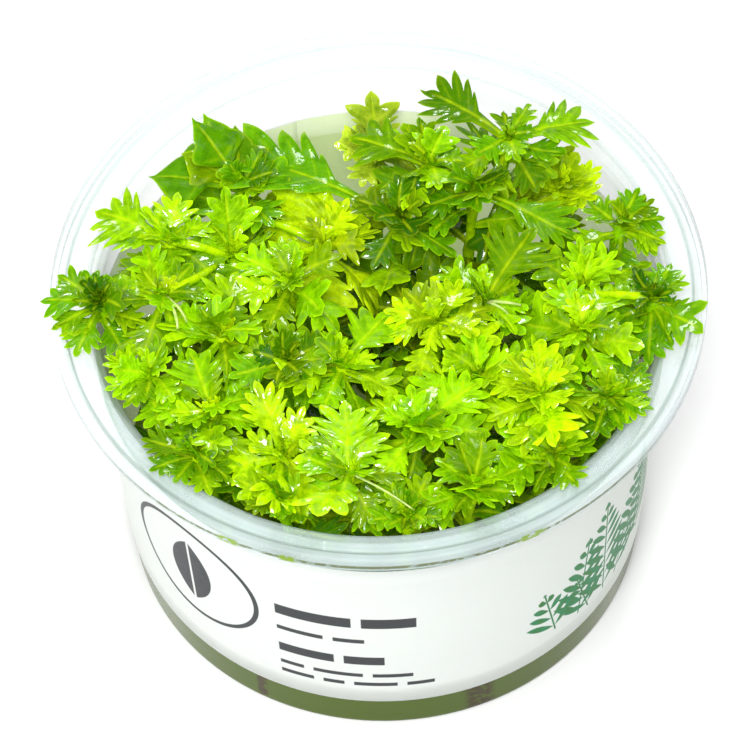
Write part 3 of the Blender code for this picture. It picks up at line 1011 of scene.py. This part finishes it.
@dataclass(frozen=True)
class LeafPress:
    """Turns a Leaf into points: a lobed outline, laid on a drooping and guttered surface."""

    per_lobe: int = 8
    stalk_steps: int = 4
    rings: tuple[float, ...] = (0.0, 0.45, 0.82, 1.0)
    blade_thickness: float = 0.16
    stalk_width: float = 0.55
    stalk_thickness: float = 0.9

    def outline(self, leaf: Leaf, rng: Random) -> tuple[Array, ...]:
        """One side of the flat leaf, from its tip round to the foot of its stalk.

        With p from 0 at the tip to 1 at the blade's foot, the edge is at length (1 - (1 - stalk) p^point)
        along and width sin(pi p)^taper across. Each of its points has a rib that starts on the midrib at
        stalk + (0.72 - stalk)(1 - p)^1.2. It reaches 1 - notch + notch (1 - acute u - (1 - acute) u^4) of the
        way, where u is 0 at a lobe's tip and 1 in the notches beside it.

        Args:
            leaf: the leaf.
            rng: the source of the lobes' unevenness.

        Returns:
            Along and across for each column's rib start, then its end, and the lobe number of each.
        """
        phase = np.arange(self.per_lobe * leaf.lobes + self.per_lobe // 2 + 1) / self.per_lobe
        lobe = phase + 0.5
        p = phase / (leaf.lobes + 0.5) * 0.955
        width = leaf.length * leaf.share * rng.uniform(0.9, 1.1)
        along = leaf.length * (1.0 - (1.0 - leaf.stalk) * p ** leaf.point)
        across = width * np.sin(math.pi * p) ** leaf.taper
        start = leaf.length * (leaf.stalk + (0.72 - leaf.stalk) * (1.0 - p) ** 1.2)
        lobe_lengths = rng.uniform(0.65, 1.12, leaf.lobes + 2)
        lobe_lengths[0] = 1.0
        uneven = lobe_lengths[np.floor(lobe + 1e-9).astype(int)]
        depth = leaf.notch * (1.0 - p ** 5)
        off_tip = np.abs(2.0 * (lobe % 1.0) - 1.0)
        side = 1.0 - leaf.acute * off_tip - (1.0 - leaf.acute) * off_tip ** 4
        reach = 1.0 - depth + depth * side * uneven
        edge_along = start + reach * (along - start)
        edge_across = reach * across + self.stalk_width * 0.9 * p ** 3
        down = np.linspace(1.0, 0.0, self.stalk_steps + 1)[1:]
        stalk_along = edge_along[-1] * down
        stalk_across = self.stalk_width + (edge_across[-1] - self.stalk_width) * down ** 2
        return (
            np.concatenate([start, stalk_along]),
            np.concatenate([edge_along, stalk_along]),
            np.concatenate([edge_across, stalk_across]),
            np.concatenate([lobe, np.full(self.stalk_steps, float(leaf.lobes + 1))]),
        )

    def press(self, leaf: Leaf, rng: Random) -> tuple[Array, Array, Array]:
        """Lays the outline out in space.

        The midrib is an arc that starts at the rise plus 0.4 of the droop and turns down by the droop, and
        it sweeps aside by the square of the way along. A point beside it stands up by the gutter's slope, and
        each lobe bends up or down by its own share. The two sheets are a thickness apart and meet at the
        edge.

        Args:
            leaf: the leaf.
            rng: the source of its unevenness.

        Returns:
            The points, the faces and the blade places.
        """
        sides = [self.outline(leaf, rng) for _ in range(2)]
        start, edge, across, lobe = (
            np.concatenate([right[::-1], left[1:]]) for right, left in zip(*sides)
        )
        start = (start + start[::-1]) * 0.5
        half = len(across) // 2
        hand = np.sign(np.arange(len(across)) - half).astype(float)
        ring = np.array(self.rings)
        along = start[:, None] + ring[None] * (edge - start)[:, None]
        aside = ring[None] * (across * hand)[:, None]
        share = np.clip(along / leaf.length, 0.0, 1.0)
        droop = math.radians(leaf.droop)
        first = math.radians(leaf.rise) + 0.4 * droop
        slant = first - droop * share
        forward = (math.sin(first) - np.sin(slant)) / droop * leaf.length
        upward = (np.cos(slant) - math.cos(first)) / droop * leaf.length
        lifts = rng.uniform(-1.0, 1.0, (2, leaf.lobes + 2))
        lift_of_lobe = lifts[(hand > 0.0).astype(int), np.floor(lobe).astype(int)]
        bend = lift_of_lobe * (1.0 - (2.0 * (lobe % 1.0) - 1.0) ** 2)
        bend[half] = 0.0
        reach = np.abs(aside)
        lift = reach * leaf.gutter + bend[:, None] * ring[None] ** 2 * leaf.wave * leaf.length
        lift -= ring[None] ** 3 * reach * 0.35 * leaf.share
        roll = math.radians(leaf.roll)
        beside = aside * math.cos(roll) - lift * math.sin(roll) + leaf.sweep * leaf.length * share ** 2
        lift = aside * math.sin(roll) + lift * math.cos(roll)
        edge_fade = np.sqrt(np.clip(1.0 - ring ** 6, 0.0, 1.0))[None]
        narrow = np.clip(1.0 - (share - leaf.stalk) / 0.25, 0.0, 1.0)
        thick = (self.blade_thickness + (self.stalk_thickness - self.blade_thickness) * narrow) * edge_fade
        thick[[0, -1]] = 0.0
        heading = math.radians(leaf.heading)
        out = np.array([math.cos(heading), math.sin(heading), 0.0])
        side = np.array([-math.sin(heading), math.cos(heading), 0.0])
        sheets = []
        for facing in (0.5, -0.5):
            height = lift + thick * facing
            ahead = forward - np.sin(slant) * height
            up = upward + np.cos(slant) * height
            sheets.append(ahead[..., None] * out + beside[..., None] * side + up[..., None] * (0.0, 0.0, 1.0))
        number, faces, count = leaf_weave(leaf.lobes, self.per_lobe, self.stalk_steps, len(ring))
        points, blade = np.empty((count, 3)), np.empty((count, 3))
        points[number[::-1]] = np.stack(sheets)[::-1] + np.array(leaf.root)
        places = np.stack(np.broadcast_arrays(aside, ring[None], lobe[:, None]), axis=2)
        blade[number] = places[None]
        return points, faces, blade


def tube(path: Array, radii: Array, sides: int) -> tuple[Array, list[Array]]:
    """A round tube along a path, closed by a fan at each end.

    Each ring lies square to the path: its points are centre + radius (cos a u + sin a v), where u and v are
    unit vectors across the path. They run anticlockwise, seen from the path's end, so the faces of
    closed_rings are turned over.

    Args:
        path: (n, 3) points.
        radii: (n,) radii.
        sides: points to a ring.

    Returns:
        The points and the arrays of faces.
    """
    ahead = np.gradient(path, axis=0)
    ahead /= np.linalg.norm(ahead, axis=1, keepdims=True)
    first = np.cross(ahead, ASKEW)
    first /= np.linalg.norm(first, axis=1, keepdims=True)
    second = np.cross(ahead, first)
    angle = np.arange(sides) * (2.0 * math.pi / sides)
    ring = np.cos(angle)[None, :, None] * first[:, None] + np.sin(angle)[None, :, None] * second[:, None]
    points, (quads, fans) = closed_rings(path[:, None] + radii[:, None, None] * ring, path[[0, -1]])
    return points, [quads[:, [0, 3, 2, 1]], fans[:, [0, 2, 1]]]


@dataclass(frozen=True)
class Plantlet:
    """One shoot: its place's name, the crown of its rosette in mm, its leaf length, hues and main leaves.

    Each main leaf is (heading, rise, length) and may go on with its share of width, its lobes and how deep
    its notches are. Each root or side stem is (east, north, up) from the crown and its radius.
    """

    place: str
    crown: Place
    size: float
    hue: Hue
    heart: Hue
    leads: tuple[tuple[float, ...], ...]
    ring: int = 8
    roots: tuple[tuple[float, float, float, float], ...] = ()
    wetness: float = 0.0


LEAD_FORM = (0.40, 3, 0.55)
LOBE_FORMS = {1: (0.9, 1.4, 0.85), 2: (0.6, 1.35, 1.5), 3: (0.6, 1.1, 1.5), 4: (0.6, 1.0, 1.5)}
LOOSE_FORM = {
    "share": (0.32, 0.46),
    "lobes": (2, 4),
    "droop": (15.0, 72.0),
    "gutter": (0.05, 0.45),
    "roll": (-34.0, 34.0),
    "sweep": (-0.22, 0.22),
    "wave": (0.03, 0.12),
    "notch": (0.42, 0.66),
}
OLD_HUES = (LIME, GREEN, YELLOW, DARK, GREEN, YELLOW, OLD)
PLANTING = (
    Plantlet("left_rim", (-42.2, -3.4, 63.5), 8.0, GREEN, DARK, (
        (173, 6, 9.2, .42, 3), (143, 20, 8.2), (205, -2, 8.2), (248, -14, 10.3, .42, 4), (110, 26, 7.0),
        (66, 8, 7.4), (10, 24, 6.0), (335, 14, 8.0), (295, 2, 8.5), (38, 30, 7.5))),
    Plantlet("upper_left", (-31.5, 8.6, 62.0), 9.5, LIME, LIME, (
        (150, 9, 13.4, .46, 4), (78, 36, 8.6, .40, 3), (155, -24, 12.5, .34, 4), (205, -5, 9.0)),
        roots=((8.5, -1.6, -2.4, .85),), wetness=0.3),
    Plantlet("broad_left", (-20.5, 20.0, 60.0), 10.0, GREEN, LIME, (
        (171, 10, 15.0, .60, 1, .30), (150, 22, 11.5, .50, 1, .25), (130, 40, 14.6, .34, 1, .25),
        (122, 40, 14.4, .34, 1, .25), (97, 34, 11.5, .50, 1, .45), (300, 20, 10.0), (255, 30, 9.5, .60, 2))),
    Plantlet("left_middle", (-32.5, -2.0, 62.5), 9.5, LIME, YELLOW, (
        (251, -12, 12.0, .38, 4), (285, -16, 9.5, .32, 3), (160, 10, 9.0), (60, 10, 8.0), (20, 5, 8.5)),
        roots=((2.2, -7.2, 1.0, .30), (3.6, -6.2, 1.2, .26), (1.0, -1.5, -9.0, .2), (8.0, 6.6, -2.0, .8),
            (-5.4, -1.0, -1.5, .75))),
    Plantlet("pale_upright", (-22.2, 9.5, 57.0), 9.5, LIME, YELLOW, (
        (100, 52, 11.5, .42, 3), (75, 48, 10.5, .36, 2), (200, 20, 9.0), (150, 25, 9.0))),
    Plantlet("crinkled", (-13.4, 1.2, 61.0), 9.5, LIME, BRIGHT, (
        (28, 12, 9.5), (100, 24, 8.0), (150, 20, 10.0), (250, 10, 10.0)), ring=6, wetness=0.35),
    Plantlet("deep_yellow", (-8.1, 11.0, 56.0), 12.0, YELLOW, YELLOW, (
        (262, 4, 13.0, .56, 2, .40), (215, 8, 12.0, .50, 2, .45), (170, 12, 12.0), (130, 24, 12.0)),
        roots=((-9.0, 3.5, 2.5, .8), (-8.0, -3.5, 1.5, .7))),
    Plantlet("dark_rosette", (-14.5, -16.0, 63.5), 8.5, GREEN, DARK, (
        (200, 12, 9.0), (28, 12, 8.5), (78, 20, 7.5), (150, 10, 8.0), (250, 0, 8.5), (310, 5, 8.5))),
    Plantlet("middle", (-5.9, -16.0, 62.5), 9.5, LIME, BRIGHT, (
        (48, 13, 11.6, .50, 3), (250, 5, 9.0), (330, 0, 9.5))),
    Plantlet("bright_rosette", (8.6, -10.2, 65.0), 9.0, BRIGHT, BRIGHT, (
        (197, 4, 8.5), (165, 12, 8.5), (130, 10, 8.5), (60, 12, 9.0), (20, 6, 9.5), (345, 0, 10.0),
        (300, -4, 9.5), (245, -12, 8.5))),
    Plantlet("great_leaf", (3.6, 12.5, 60.0), 10.0, GREEN, DARK, (
        (149, 4, 32.0, .26, 4), (238, -4, 9.0), (60, 30, 8.5)), ring=5),
    Plantlet("back_fan", (8.7, 21.0, 63.0), 9.5, LIME, GREEN, (
        (156, 6, 14.0, .43, 3), (100, 30, 8.5), (240, 10, 10.0))),
    Plantlet("back_yellow", (0.5, 37.0, 46.5), 8.5, PALE, YELLOW, (
        (90, 56, 11.6, .50, 2), (125, 34, 7.5), (60, 34, 8.0), (250, 20, 8.5))),
    Plantlet("top_pair", (20.8, 22.4, 67.0), 9.0, GREEN, GREEN, (
        (141, 5, 17.0, .30, 4), (16, 3, 14.2, .42, 4), (93, 14, 6.0, .40, 2), (300, -20, 9.0),
        (250, -28, 9.0), (200, -12, 8.5))),
    Plantlet("long_leaf", (15.5, 16.0, 62.5), 9.5, GREEN, LIME, (
        (330, -5, 18.5, .24, 4), (200, 5, 10.0), (90, 10, 8.5))),
    Plantlet("back_right", (28.5, 20.5, 56.0), 9.5, YELLOW, YELLOW, (
        (96, 30, 8.5, .50, 2), (323, 30, 8.5, .46, 3), (20, 20, 9.0))),
    Plantlet("right_upper", (37.6, 8.6, 62.5), 8.0, GREEN, GREEN, (
        (60, 38, 6.6), (27, 33, 6.8), (5, 16, 7.0), (335, 4, 7.4), (318, -6, 7.4), (139, 24, 7.5),
        (200, 10, 8.5), (262, 5, 8.5))),
    Plantlet("right_dark", (41.2, -6.4, 63.0), 8.0, GREEN, DARK, (
        (58, 21, 7.0), (34, 25, 6.8), (348, 8, 4.9, .50, 3), (325, -2, 5.4), (292, -30, 9.4), (262, -8, 9.5),
        (200, 10, 8.5), (150, 12, 8.5), (100, 15, 7.5)), roots=((-9.9, 2.4, -1.5, .75),)),
    Plantlet("curly", (31.0, -1.5, 60.0), 9.5, LIME, YELLOW, (
        (90, 42, 8.5), (39, 36, 8.5), (22, 10, 12.0), (202, 2, 9.0))),
    Plantlet("fan", (16.0, -4.0, 60.5), 10.0, LIME, GREEN, (
        (56, 18, 15.0, .44, 4), (130, 10, 10.0), (200, 5, 9.5)),
        roots=((5.5, -1.5, 0.6, .28), (3.5, -3.0, 0.2, .24))),
    Plantlet("right_middle", (30.5, -11.5, 62.5), 9.5, LIME, BRIGHT, (
        (112, 16, 10.0), (60, 10, 10.0), (20, 0, 10.0), (330, -10, 9.5), (250, 5, 9.5))),
    Plantlet("right_droop", (33.5, -22.0, 60.5), 8.5, GREEN, GREEN, (
        (336, 6, 7.4), (325, -8, 8.2), (20, 8, 8.0), (60, 10, 9.5), (88, 10, 9.5), (250, 0, 8.5),
        (290, -4, 8.5)), wetness=0.3),
    Plantlet("bright_right", (23.5, -23.0, 63.0), 9.0, BRIGHT, BRIGHT, (
        (162, 12, 8.5), (127, 25, 8.5), (47, 25, 8.5), (355, -6, 9.5), (200, 2, 9.0), (300, -4, 9.5),
        (250, 0, 9.5))),
    Plantlet("yellow_node", (24.5, -31.5, 58.5), 9.0, LIME, YELLOW, (
        (300, 8, 9.0), (180, 10, 9.5), (100, 20, 8.5))),
    Plantlet("broad_middle", (5.0, -27.5, 61.5), 9.5, LIME, LIME, (
        (356, 6, 11.0, .42, 4), (38, 16, 13.5, .36, 4), (135, 8, 9.5, .42, 3), (230, 0, 9.5))),
    Plantlet("front_upright", (-15.0, -30.0, 60.0), 9.5, BRIGHT, BRIGHT, (
        (112, 42, 12.5, .34, 4), (191, 0, 9.5), (56, 48, 9.0), (325, 0, 9.5)), wetness=0.4),
    Plantlet("wet", (-5.5, -34.5, 61.0), 9.0, LIME, BRIGHT, (
        (88, 33, 11.5, .50, 4), (58, 30, 9.5), (120, 30, 9.5), (155, 16, 8.5), (200, 0, 8.5), (300, -4, 8.0),
        (10, 12, 9.5)),
        roots=((9.5, -6.5, -1.0, .20),), wetness=1.0),
    Plantlet("front_right", (13.0, -36.5, 59.5), 8.5, LIME, LIME, (
        (70, 56, 9.5, .32, 3), (110, 48, 8.5), (150, 38, 8.0), (347, -6, 8.5), (20, 20, 9.0),
        (200, 10, 8.5))),
    Plantlet("left_node", (-25.5, -22.5, 60.5), 9.5, LIME, YELLOW, (
        (105, 22, 11.5), (40, 10, 9.5), (170, 10, 9.5), (230, 0, 9.5), (300, 0, 9.5))),
    Plantlet("left_low", (-34.5, -15.0, 60.0), 8.5, LIME, LIME, (
        (198, 9, 7.6), (235, 0, 8.2), (150, 15, 8.5), (90, 15, 9.0), (20, 5, 8.5))),
    Plantlet("left_droop", (-28.0, -29.5, 60.0), 8.5, GREEN, LIME, (
        (162, -10, 10.4, .34, 4), (200, -8, 9.0), (240, -6, 8.2), (285, 0, 8.5), (60, 15, 9.5),
        (10, 8, 9.5))),
    Plantlet("front_left", (-15.8, -37.2, 58.0), 8.5, GREEN, GREEN, (
        (265, 8, 6.5), (200, 5, 8.0), (320, 5, 8.5), (60, 30, 8.5), (120, 30, 8.5))),
    Plantlet("front_middle", (3.0, -40.0, 57.5), 8.5, GREEN, LIME, (
        (280, 10, 5.0), (200, 10, 8.5), (340, 10, 8.5), (120, 30, 8.5), (60, 30, 8.5))),
    Plantlet("inner_low", (4.5, 1.5, 50.0), 11.5, DARK, OLD, (
        (210, 10, 12.0), (120, 10, 11.5), (330, 10, 11.5))),
    Plantlet("inner_left", (-24.0, -8.5, 61.0), 10.0, LIME, YELLOW, (
        (75, 14, 11.5), (150, 10, 9.5), (240, 5, 9.5), (330, 8, 10.0)), wetness=0.3),
    Plantlet("inner_front", (14.5, -17.5, 60.0), 10.0, LIME, GREEN, (
        (200, 12, 11.5), (290, 0, 10.0), (30, 10, 10.0))),
)


@dataclass
class Shoots:
    """The plantlets: each a stem from the gel with a rosette of lobed leaves, older leaves under it."""

    cup: Cup
    gel_top: float = 15.3
    stem_radius: float = 0.75
    bud_radius: float = 0.95
    foot_radius_limit: float = 35.0
    draw_in: float = 0.84
    bend: float = 1.6
    stem_sides: int = 10
    stem_steps: int = 14
    stem_place: Place = (5.0, 0.0, 0.0)
    free_low: Place = (-19.0, 29.5, 16.0)
    free_high: Place = (-5.0, 35.5, 60.6)
    press: LeafPress = LeafPress()
    low_press: LeafPress = LeafPress(per_lobe=4, stalk_steps=3, rings=(0.0, 0.6, 1.0))
    fine_press: LeafPress = LeafPress(per_lobe=12, stalk_steps=6, rings=(0.0, 0.3, 0.6, 0.85, 1.0))
    long_leaf: float = 12.0
    small_press: LeafPress = LeafPress(
        per_lobe=4, stalk_steps=2, rings=(0.0, 0.6, 1.0), blade_thickness=0.15,
        stalk_width=0.35, stalk_thickness=0.6,
    )
    inner_leaves: int = 6
    heart_leaves: int = 5
    tight_heart_leaves: int = 13
    shaded_share: float = 0.3
    shaded: Pair = (0.44, 0.72)
    lit: Pair = (0.88, 1.24)
    dark_shade: float = 0.7
    warmest: float = 0.7
    attempts: int = 12
    lift_step: float = 7.0
    steepest: float = 84.0
    shrink_step: float = 0.05

    def build(self) -> None:
        """Makes every plantlet and dresses it."""
        skin = LeafSkin().make()
        for index, plantlet in enumerate(PLANTING):
            rng = np.random.default_rng(SEED + index)
            body = Body()
            self.grow_stem(body, plantlet, rng)
            for leaf, hue, press in self.leaves(plantlet, rng):
                if leaf.length > self.long_leaf:
                    press = self.fine_press
                self.grow_leaf(body, plantlet, leaf, hue, press, rng)
            mesh = body.mesh("shoot_" + plantlet.place)
            dress("shoot_" + plantlet.place, mesh, [skin], Slot.LEAF, "plantlet_" + plantlet.place)

    def stem_path(self, plantlet: Plantlet, steps: int) -> Array:
        """Points from the stem's foot in the gel to the crown, leaning outwards as it climbs."""
        crown = np.array(plantlet.crown)
        draw_in = min(self.draw_in, self.foot_radius_limit / math.hypot(crown[0], crown[1]))
        foot = np.array([crown[0] * draw_in, crown[1] * draw_in, self.gel_top])
        climb = np.linspace(0.0, 1.0, steps)
        path = foot + (crown - foot) * (climb ** self.bend)[:, None]
        path[:, 2] = foot[2] + (crown[2] - foot[2]) * climb
        return path

    def grow_stem(self, body: Body, plantlet: Plantlet, rng: Random) -> None:
        """Adds the stem, thicker at its nodes and its bud, and the roots that leave the crown."""
        path = self.stem_path(plantlet, self.stem_steps)
        wobble = rng.normal(0.0, 0.25, path.shape) * np.sin(np.linspace(0.0, math.pi, len(path)))[:, None]
        radii = np.full(len(path), self.stem_radius)
        radii[::3] *= 1.3
        radii[-1] = self.bud_radius
        points, faces = tube(path + wobble, radii, self.stem_sides)
        climb = np.clip((points[:, 2:] - self.gel_top) / 45.0, 0.0, 1.0)
        crest = LIME if plantlet.heart in (DARK, GREEN) else BRIGHT
        tint = np.array(GREEN.value) * (1.0 - climb) + np.array(crest.value) * climb
        body.add(points, faces, np.insert(tint, 3, 0.2, axis=1), self.stem_place)
        for east, north, up, radius in plantlet.roots:
            along = np.linspace(0.0, 1.0, 12)
            sag = np.sin(math.pi * along)[:, None] * np.array([0.6, -0.8, 1.2])
            way = path[-1] + (0.0, 0.0, 0.6) + along[:, None] * np.array([east, north, up]) + sag
            root_points, root_faces = tube(way, radius * (1.0 - 0.4 * along), 8)
            hue = BRIGHT if radius > 0.4 else ROOT
            body.add(root_points, root_faces, np.array([*hue.value, 0.2]), self.stem_place)

    @staticmethod
    def leads(plantlet: Plantlet, rng: Random) -> Iterable[Leaf]:
        """The plantlet's main leaves, each a little lower on the crown than the one before."""
        for number, (heading, rise, length, *form) in enumerate(plantlet.leads):
            share, lobes, notch = (*form, *LEAD_FORM[len(form):])
            acute, taper, point = LOBE_FORMS[lobes]
            root = tuple(np.array(plantlet.crown) - (0.0, 0.0, 0.6 + 0.35 * number))
            yield Leaf(root, heading, rise, length, share, lobes, notch=notch, roll=rng.uniform(-12.0, 12.0),
                       sweep=rng.uniform(-0.05, 0.05), acute=acute, taper=taper, point=point)

    @staticmethod
    def loose(
        crown: Place, lean: Pair, rng: Random,
        drop: float, heading: float, rise: float, length: float, **form: float
    ) -> Leaf:
        """A leaf with its own twist, on a rosette that leans to one side.

        Args:
            crown: the rosette's middle.
            lean: where the rosette leans to and how far, in degrees.
            rng: the source of the leaf's unevenness.
            drop: how far under the crown its stalk starts, in mm.
            heading: which way it goes, in degrees.
            rise: how steeply it goes on an upright rosette, in degrees.
            length: its length in mm.
            form: what isn't left to chance.

        Returns:
            The leaf.
        """
        tilt = lean[1] * math.cos(math.radians(heading - lean[0]))
        own = {name: rng.uniform(*limits) if name != "lobes" else int(rng.integers(*limits))
               for name, limits in LOOSE_FORM.items()}
        root = tuple(np.array(crown) - (0.0, 0.0, drop))
        return Leaf(root, heading, rise + tilt, length, **{**own, **form})

    def leaves(self, plantlet: Plantlet, rng: Random) -> Iterable[tuple[Leaf, Hue, LeafPress]]:
        """The plantlet's leaves: its main ones, those that fill the ring, the inner tiers and the old ones.

        Args:
            plantlet: the plantlet.
            rng: the source of its unevenness.

        Yields:
            Each leaf with its hue and the press that shapes it.
        """
        tight = plantlet.heart is DARK
        lean = (rng.uniform(0.0, 360.0), rng.uniform(2.0, 10.0) if tight else rng.uniform(14.0, 36.0))
        loose = partial(self.loose, plantlet.crown, lean, rng)
        for leaf in self.leads(plantlet, rng):
            yield leaf, plantlet.hue, self.press
        headings = [lead[0] % 360.0 for lead in plantlet.leads]
        for number in range(plantlet.ring - len(headings)):
            headings.append(self.widest_gap(headings))
            length = plantlet.size * rng.uniform(0.75, 1.3)
            leaf = loose(1.6 + 0.4 * number, headings[-1], rng.uniform(-10.0, 32.0), length)
            yield leaf, plantlet.hue, self.press
        turn = rng.uniform(0.0, 360.0)
        for number in range(self.inner_leaves):
            length = plantlet.size * rng.uniform(0.5, 0.85)
            hue = plantlet.heart if tight and number > 1 else plantlet.hue
            leaf = loose(0.2, turn + number * GOLDEN_ANGLE, rng.uniform(16.0, 62.0), length, stalk=0.28)
            yield leaf, hue, self.press
        for number in range(self.tight_heart_leaves if tight else self.heart_leaves):
            heading = turn + 60.0 + number * GOLDEN_ANGLE
            rise = (44.0 + 3.0 * number) if tight else (56.0 + 4.0 * number)
            length = plantlet.size * rng.uniform(0.24, 0.40)
            leaf = loose(-0.2, heading, rise, length, droop=-50.0, gutter=0.6, stalk=0.2)
            yield leaf, plantlet.heart, self.small_press
        path = self.stem_path(plantlet, 24)
        for number, hue in enumerate((plantlet.hue, *OLD_HUES)):
            heading = turn + 25.0 + number * GOLDEN_ANGLE
            length = plantlet.size * rng.uniform(1.0, 1.45)
            leaf = loose(0.0, heading, rng.uniform(0.0, 30.0), length)
            yield replace(leaf, root=tuple(path[21 - 2 * number])), hue, self.low_press

    @staticmethod
    def widest_gap(headings: list[float]) -> float:
        """The middle of the widest gap between headings, in degrees."""
        if not headings:
            return 0.0
        ordered = sorted(headings)
        following = ordered[1:] + ordered[:1]
        gaps = [(after - before) % 360.0 or 360.0 for before, after in zip(ordered, following)]
        widest = int(np.argmax(gaps))
        return (ordered[widest] + gaps[widest] * 0.5) % 360.0

    def clear(self, points: Array) -> bool:
        """Whether a leaf stays off the cup and the gel, in the model's box and out of the free space."""
        reach = np.hypot(points[:, 0], points[:, 1])
        if np.any(reach > self.cup.room(points[:, 2])) or points[:, 2].min() < self.gel_top:
            return False
        low, high = (np.array(corner) / MM for corner in MODEL_BOX)
        if np.any(points < low + 0.02) or np.any(points > high - 0.02):
            return False
        inside = (points > self.free_low) & (points < self.free_high)
        return not inside.all(axis=1).any()

    def grow_leaf(
        self, body: Body, plantlet: Plantlet, leaf: Leaf, hue: Hue, press: LeafPress, rng: Random
    ) -> None:
        """Adds a leaf, lifted and shortened by steps until it is clear, or leaves it out.

        Args:
            body: what it is added to.
            plantlet: whose leaf it is.
            leaf: the leaf as wanted.
            hue: its colour.
            press: what shapes it.
            rng: the source of its unevenness.
        """
        seed = int(rng.integers(1 << 30))
        shade = rng.uniform(*(self.shaded if rng.random() < self.shaded_share else self.lit))
        if hue is DARK:
            shade *= self.dark_shade
        warm = rng.uniform(0.0, self.warmest) ** 2
        for attempt in range(self.attempts):
            lifted = min(leaf.rise + self.lift_step * attempt, self.steepest)
            shorter = leaf.length * (1.0 - self.shrink_step * attempt)
            tried = replace(leaf, rise=lifted, length=shorter)
            points, faces, blade = press.press(tried, np.random.default_rng(seed))
            if self.clear(points):
                break
        else:
            return
        # Painted shade: leaves lower under the crown are darker.
        depth = np.clip((points[:, 2:] - plantlet.crown[2] + 13.0) / 12.0, 0.0, 1.0)
        shade = shade * (0.30 + 0.70 * depth)
        base = np.array(hue.value) * shade
        base = base * (1.0 - warm) + np.array(YELLOW.value) * warm * shade
        near = np.clip(1.0 - np.linalg.norm(points - np.array(leaf.root), axis=1) / (shorter * 0.5), 0.0, 1.0)
        tint = base + (np.array(YELLOW.value) - base) * (near[:, None] ** 1.5) * 0.5
        wetness = max(plantlet.wetness, rng.uniform(-0.4, 0.5))
        body.add(points, [faces], np.insert(tint, 3, wetness, axis=1), blade)


@dataclass
class Studio:
    """The pale floor, the soft lights and the camera at the photograph's angle."""

    floor_size: float = 6000.0
    floor_gap: float = 0.05
    floor_colour: Colour = (0.83, 0.83, 0.83)
    floor_shade: Colour = (0.82, 0.825, 0.83)
    camera_place: Place = (-0.991, -373.928, 568.723)
    camera_target: Place = (-0.991, 0.0, 37.05)
    camera_roll: float = -2.16
    lens: float = 199.17
    world_strength: float = 0.36
    lamp_target: Place = (0.0, 0.0, 40.0)
    lamps: tuple[tuple[str, Place, float, float], ...] = (
        ("key", (-60.0, -420.0, 820.0), 300.0, 7.2),
        ("side", (-620.0, -260.0, 240.0), 380.0, 1.5),
        ("front", (-40.0, -700.0, 560.0), 500.0, 1.7),
        ("back", (60.0, 560.0, 760.0), 380.0, 3.6),
    )

    def build(self) -> None:
        """Sets out the floor, the world, the lamps and the camera."""
        self.lay_floor()
        self.light()
        self.place_camera()
        bpy.context.scene.view_settings.view_transform = "Standard"

    def lay_floor(self) -> None:
        """A wide plain sheet just under the cup."""
        half = self.floor_size * 0.5
        square = np.array([(-half, -half), (half, -half), (half, half), (-half, half)])
        mesh = write_mesh("floor", np.insert(square, 2, -self.floor_gap, axis=1), [np.array([[0, 1, 2, 3]])])
        surface = Surface("pale_floor")
        grain = surface.noise(60.0, 2.0).ramp(0.3, 0.7)
        colour = surface.mix(grain, self.floor_colour, self.floor_shade)
        surface.set(base_color=colour, roughness=0.9, specular_ior_level=0.1)
        mesh.materials.append(surface.material)
        floor = bpy.data.objects.new("floor", mesh)
        bpy.context.scene.collection.objects.link(floor)
        floor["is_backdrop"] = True

    def light(self) -> None:
        """An even white world and large soft lamps that face the cup."""
        world = bpy.data.worlds.new("studio")
        world.use_nodes = True
        sky = world.node_tree.nodes["Background"].inputs
        sky["Color"].default_value = (1.0, 1.0, 1.0, 1.0)
        sky["Strength"].default_value = self.world_strength
        bpy.context.scene.world = world
        for name, place, size, watts in self.lamps:
            lamp = bpy.data.lights.new(name, "AREA")
            lamp.shape = "SQUARE"
            lamp.size = size * MM
            lamp.energy = watts
            holder = bpy.data.objects.new(name, lamp)
            holder.matrix_world = self.facing(Vector(place), Vector(self.lamp_target), 0.0)
            bpy.context.scene.collection.objects.link(holder)

    def place_camera(self) -> None:
        """A long lens that looks down on the cup, slightly rolled."""
        camera = bpy.data.cameras.new("camera")
        camera.lens = self.lens
        camera.clip_end = 20.0
        holder = bpy.data.objects.new("camera", camera)
        place, target = Vector(self.camera_place), Vector(self.camera_target)
        holder.matrix_world = self.facing(place, target, self.camera_roll)
        bpy.context.scene.collection.objects.link(holder)
        bpy.context.scene.camera = holder

    @staticmethod
    def facing(place: Vector, target: Vector, roll: float) -> Matrix:
        """The placing of a lamp or camera at a place in mm that looks at a target, rolled by degrees."""
        turn = (target - place).to_track_quat("-Z", "Y").to_matrix().to_4x4()
        return Matrix.Translation(place * MM) @ turn @ Matrix.Rotation(math.radians(roll), 4, "Z")


def plain(box: tuple[Vector, Vector]) -> list[list[float]]:
    """A box as lists of numbers."""
    return [list(corner) for corner in box]


def main() -> None:
    """Builds the studio, the cup, its label, the gel and the plantlets."""
    logging.basicConfig(level=logging.INFO, format="%(message)s")
    Studio().build()
    cup = Cup()
    cup.build()
    Label(cup).build()
    Gel(cup).build()
    Shoots(cup).build()
    {"cad": plain(MODEL_BOX), "visual": plain(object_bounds())}


if __name__ == "__main__":
    main()
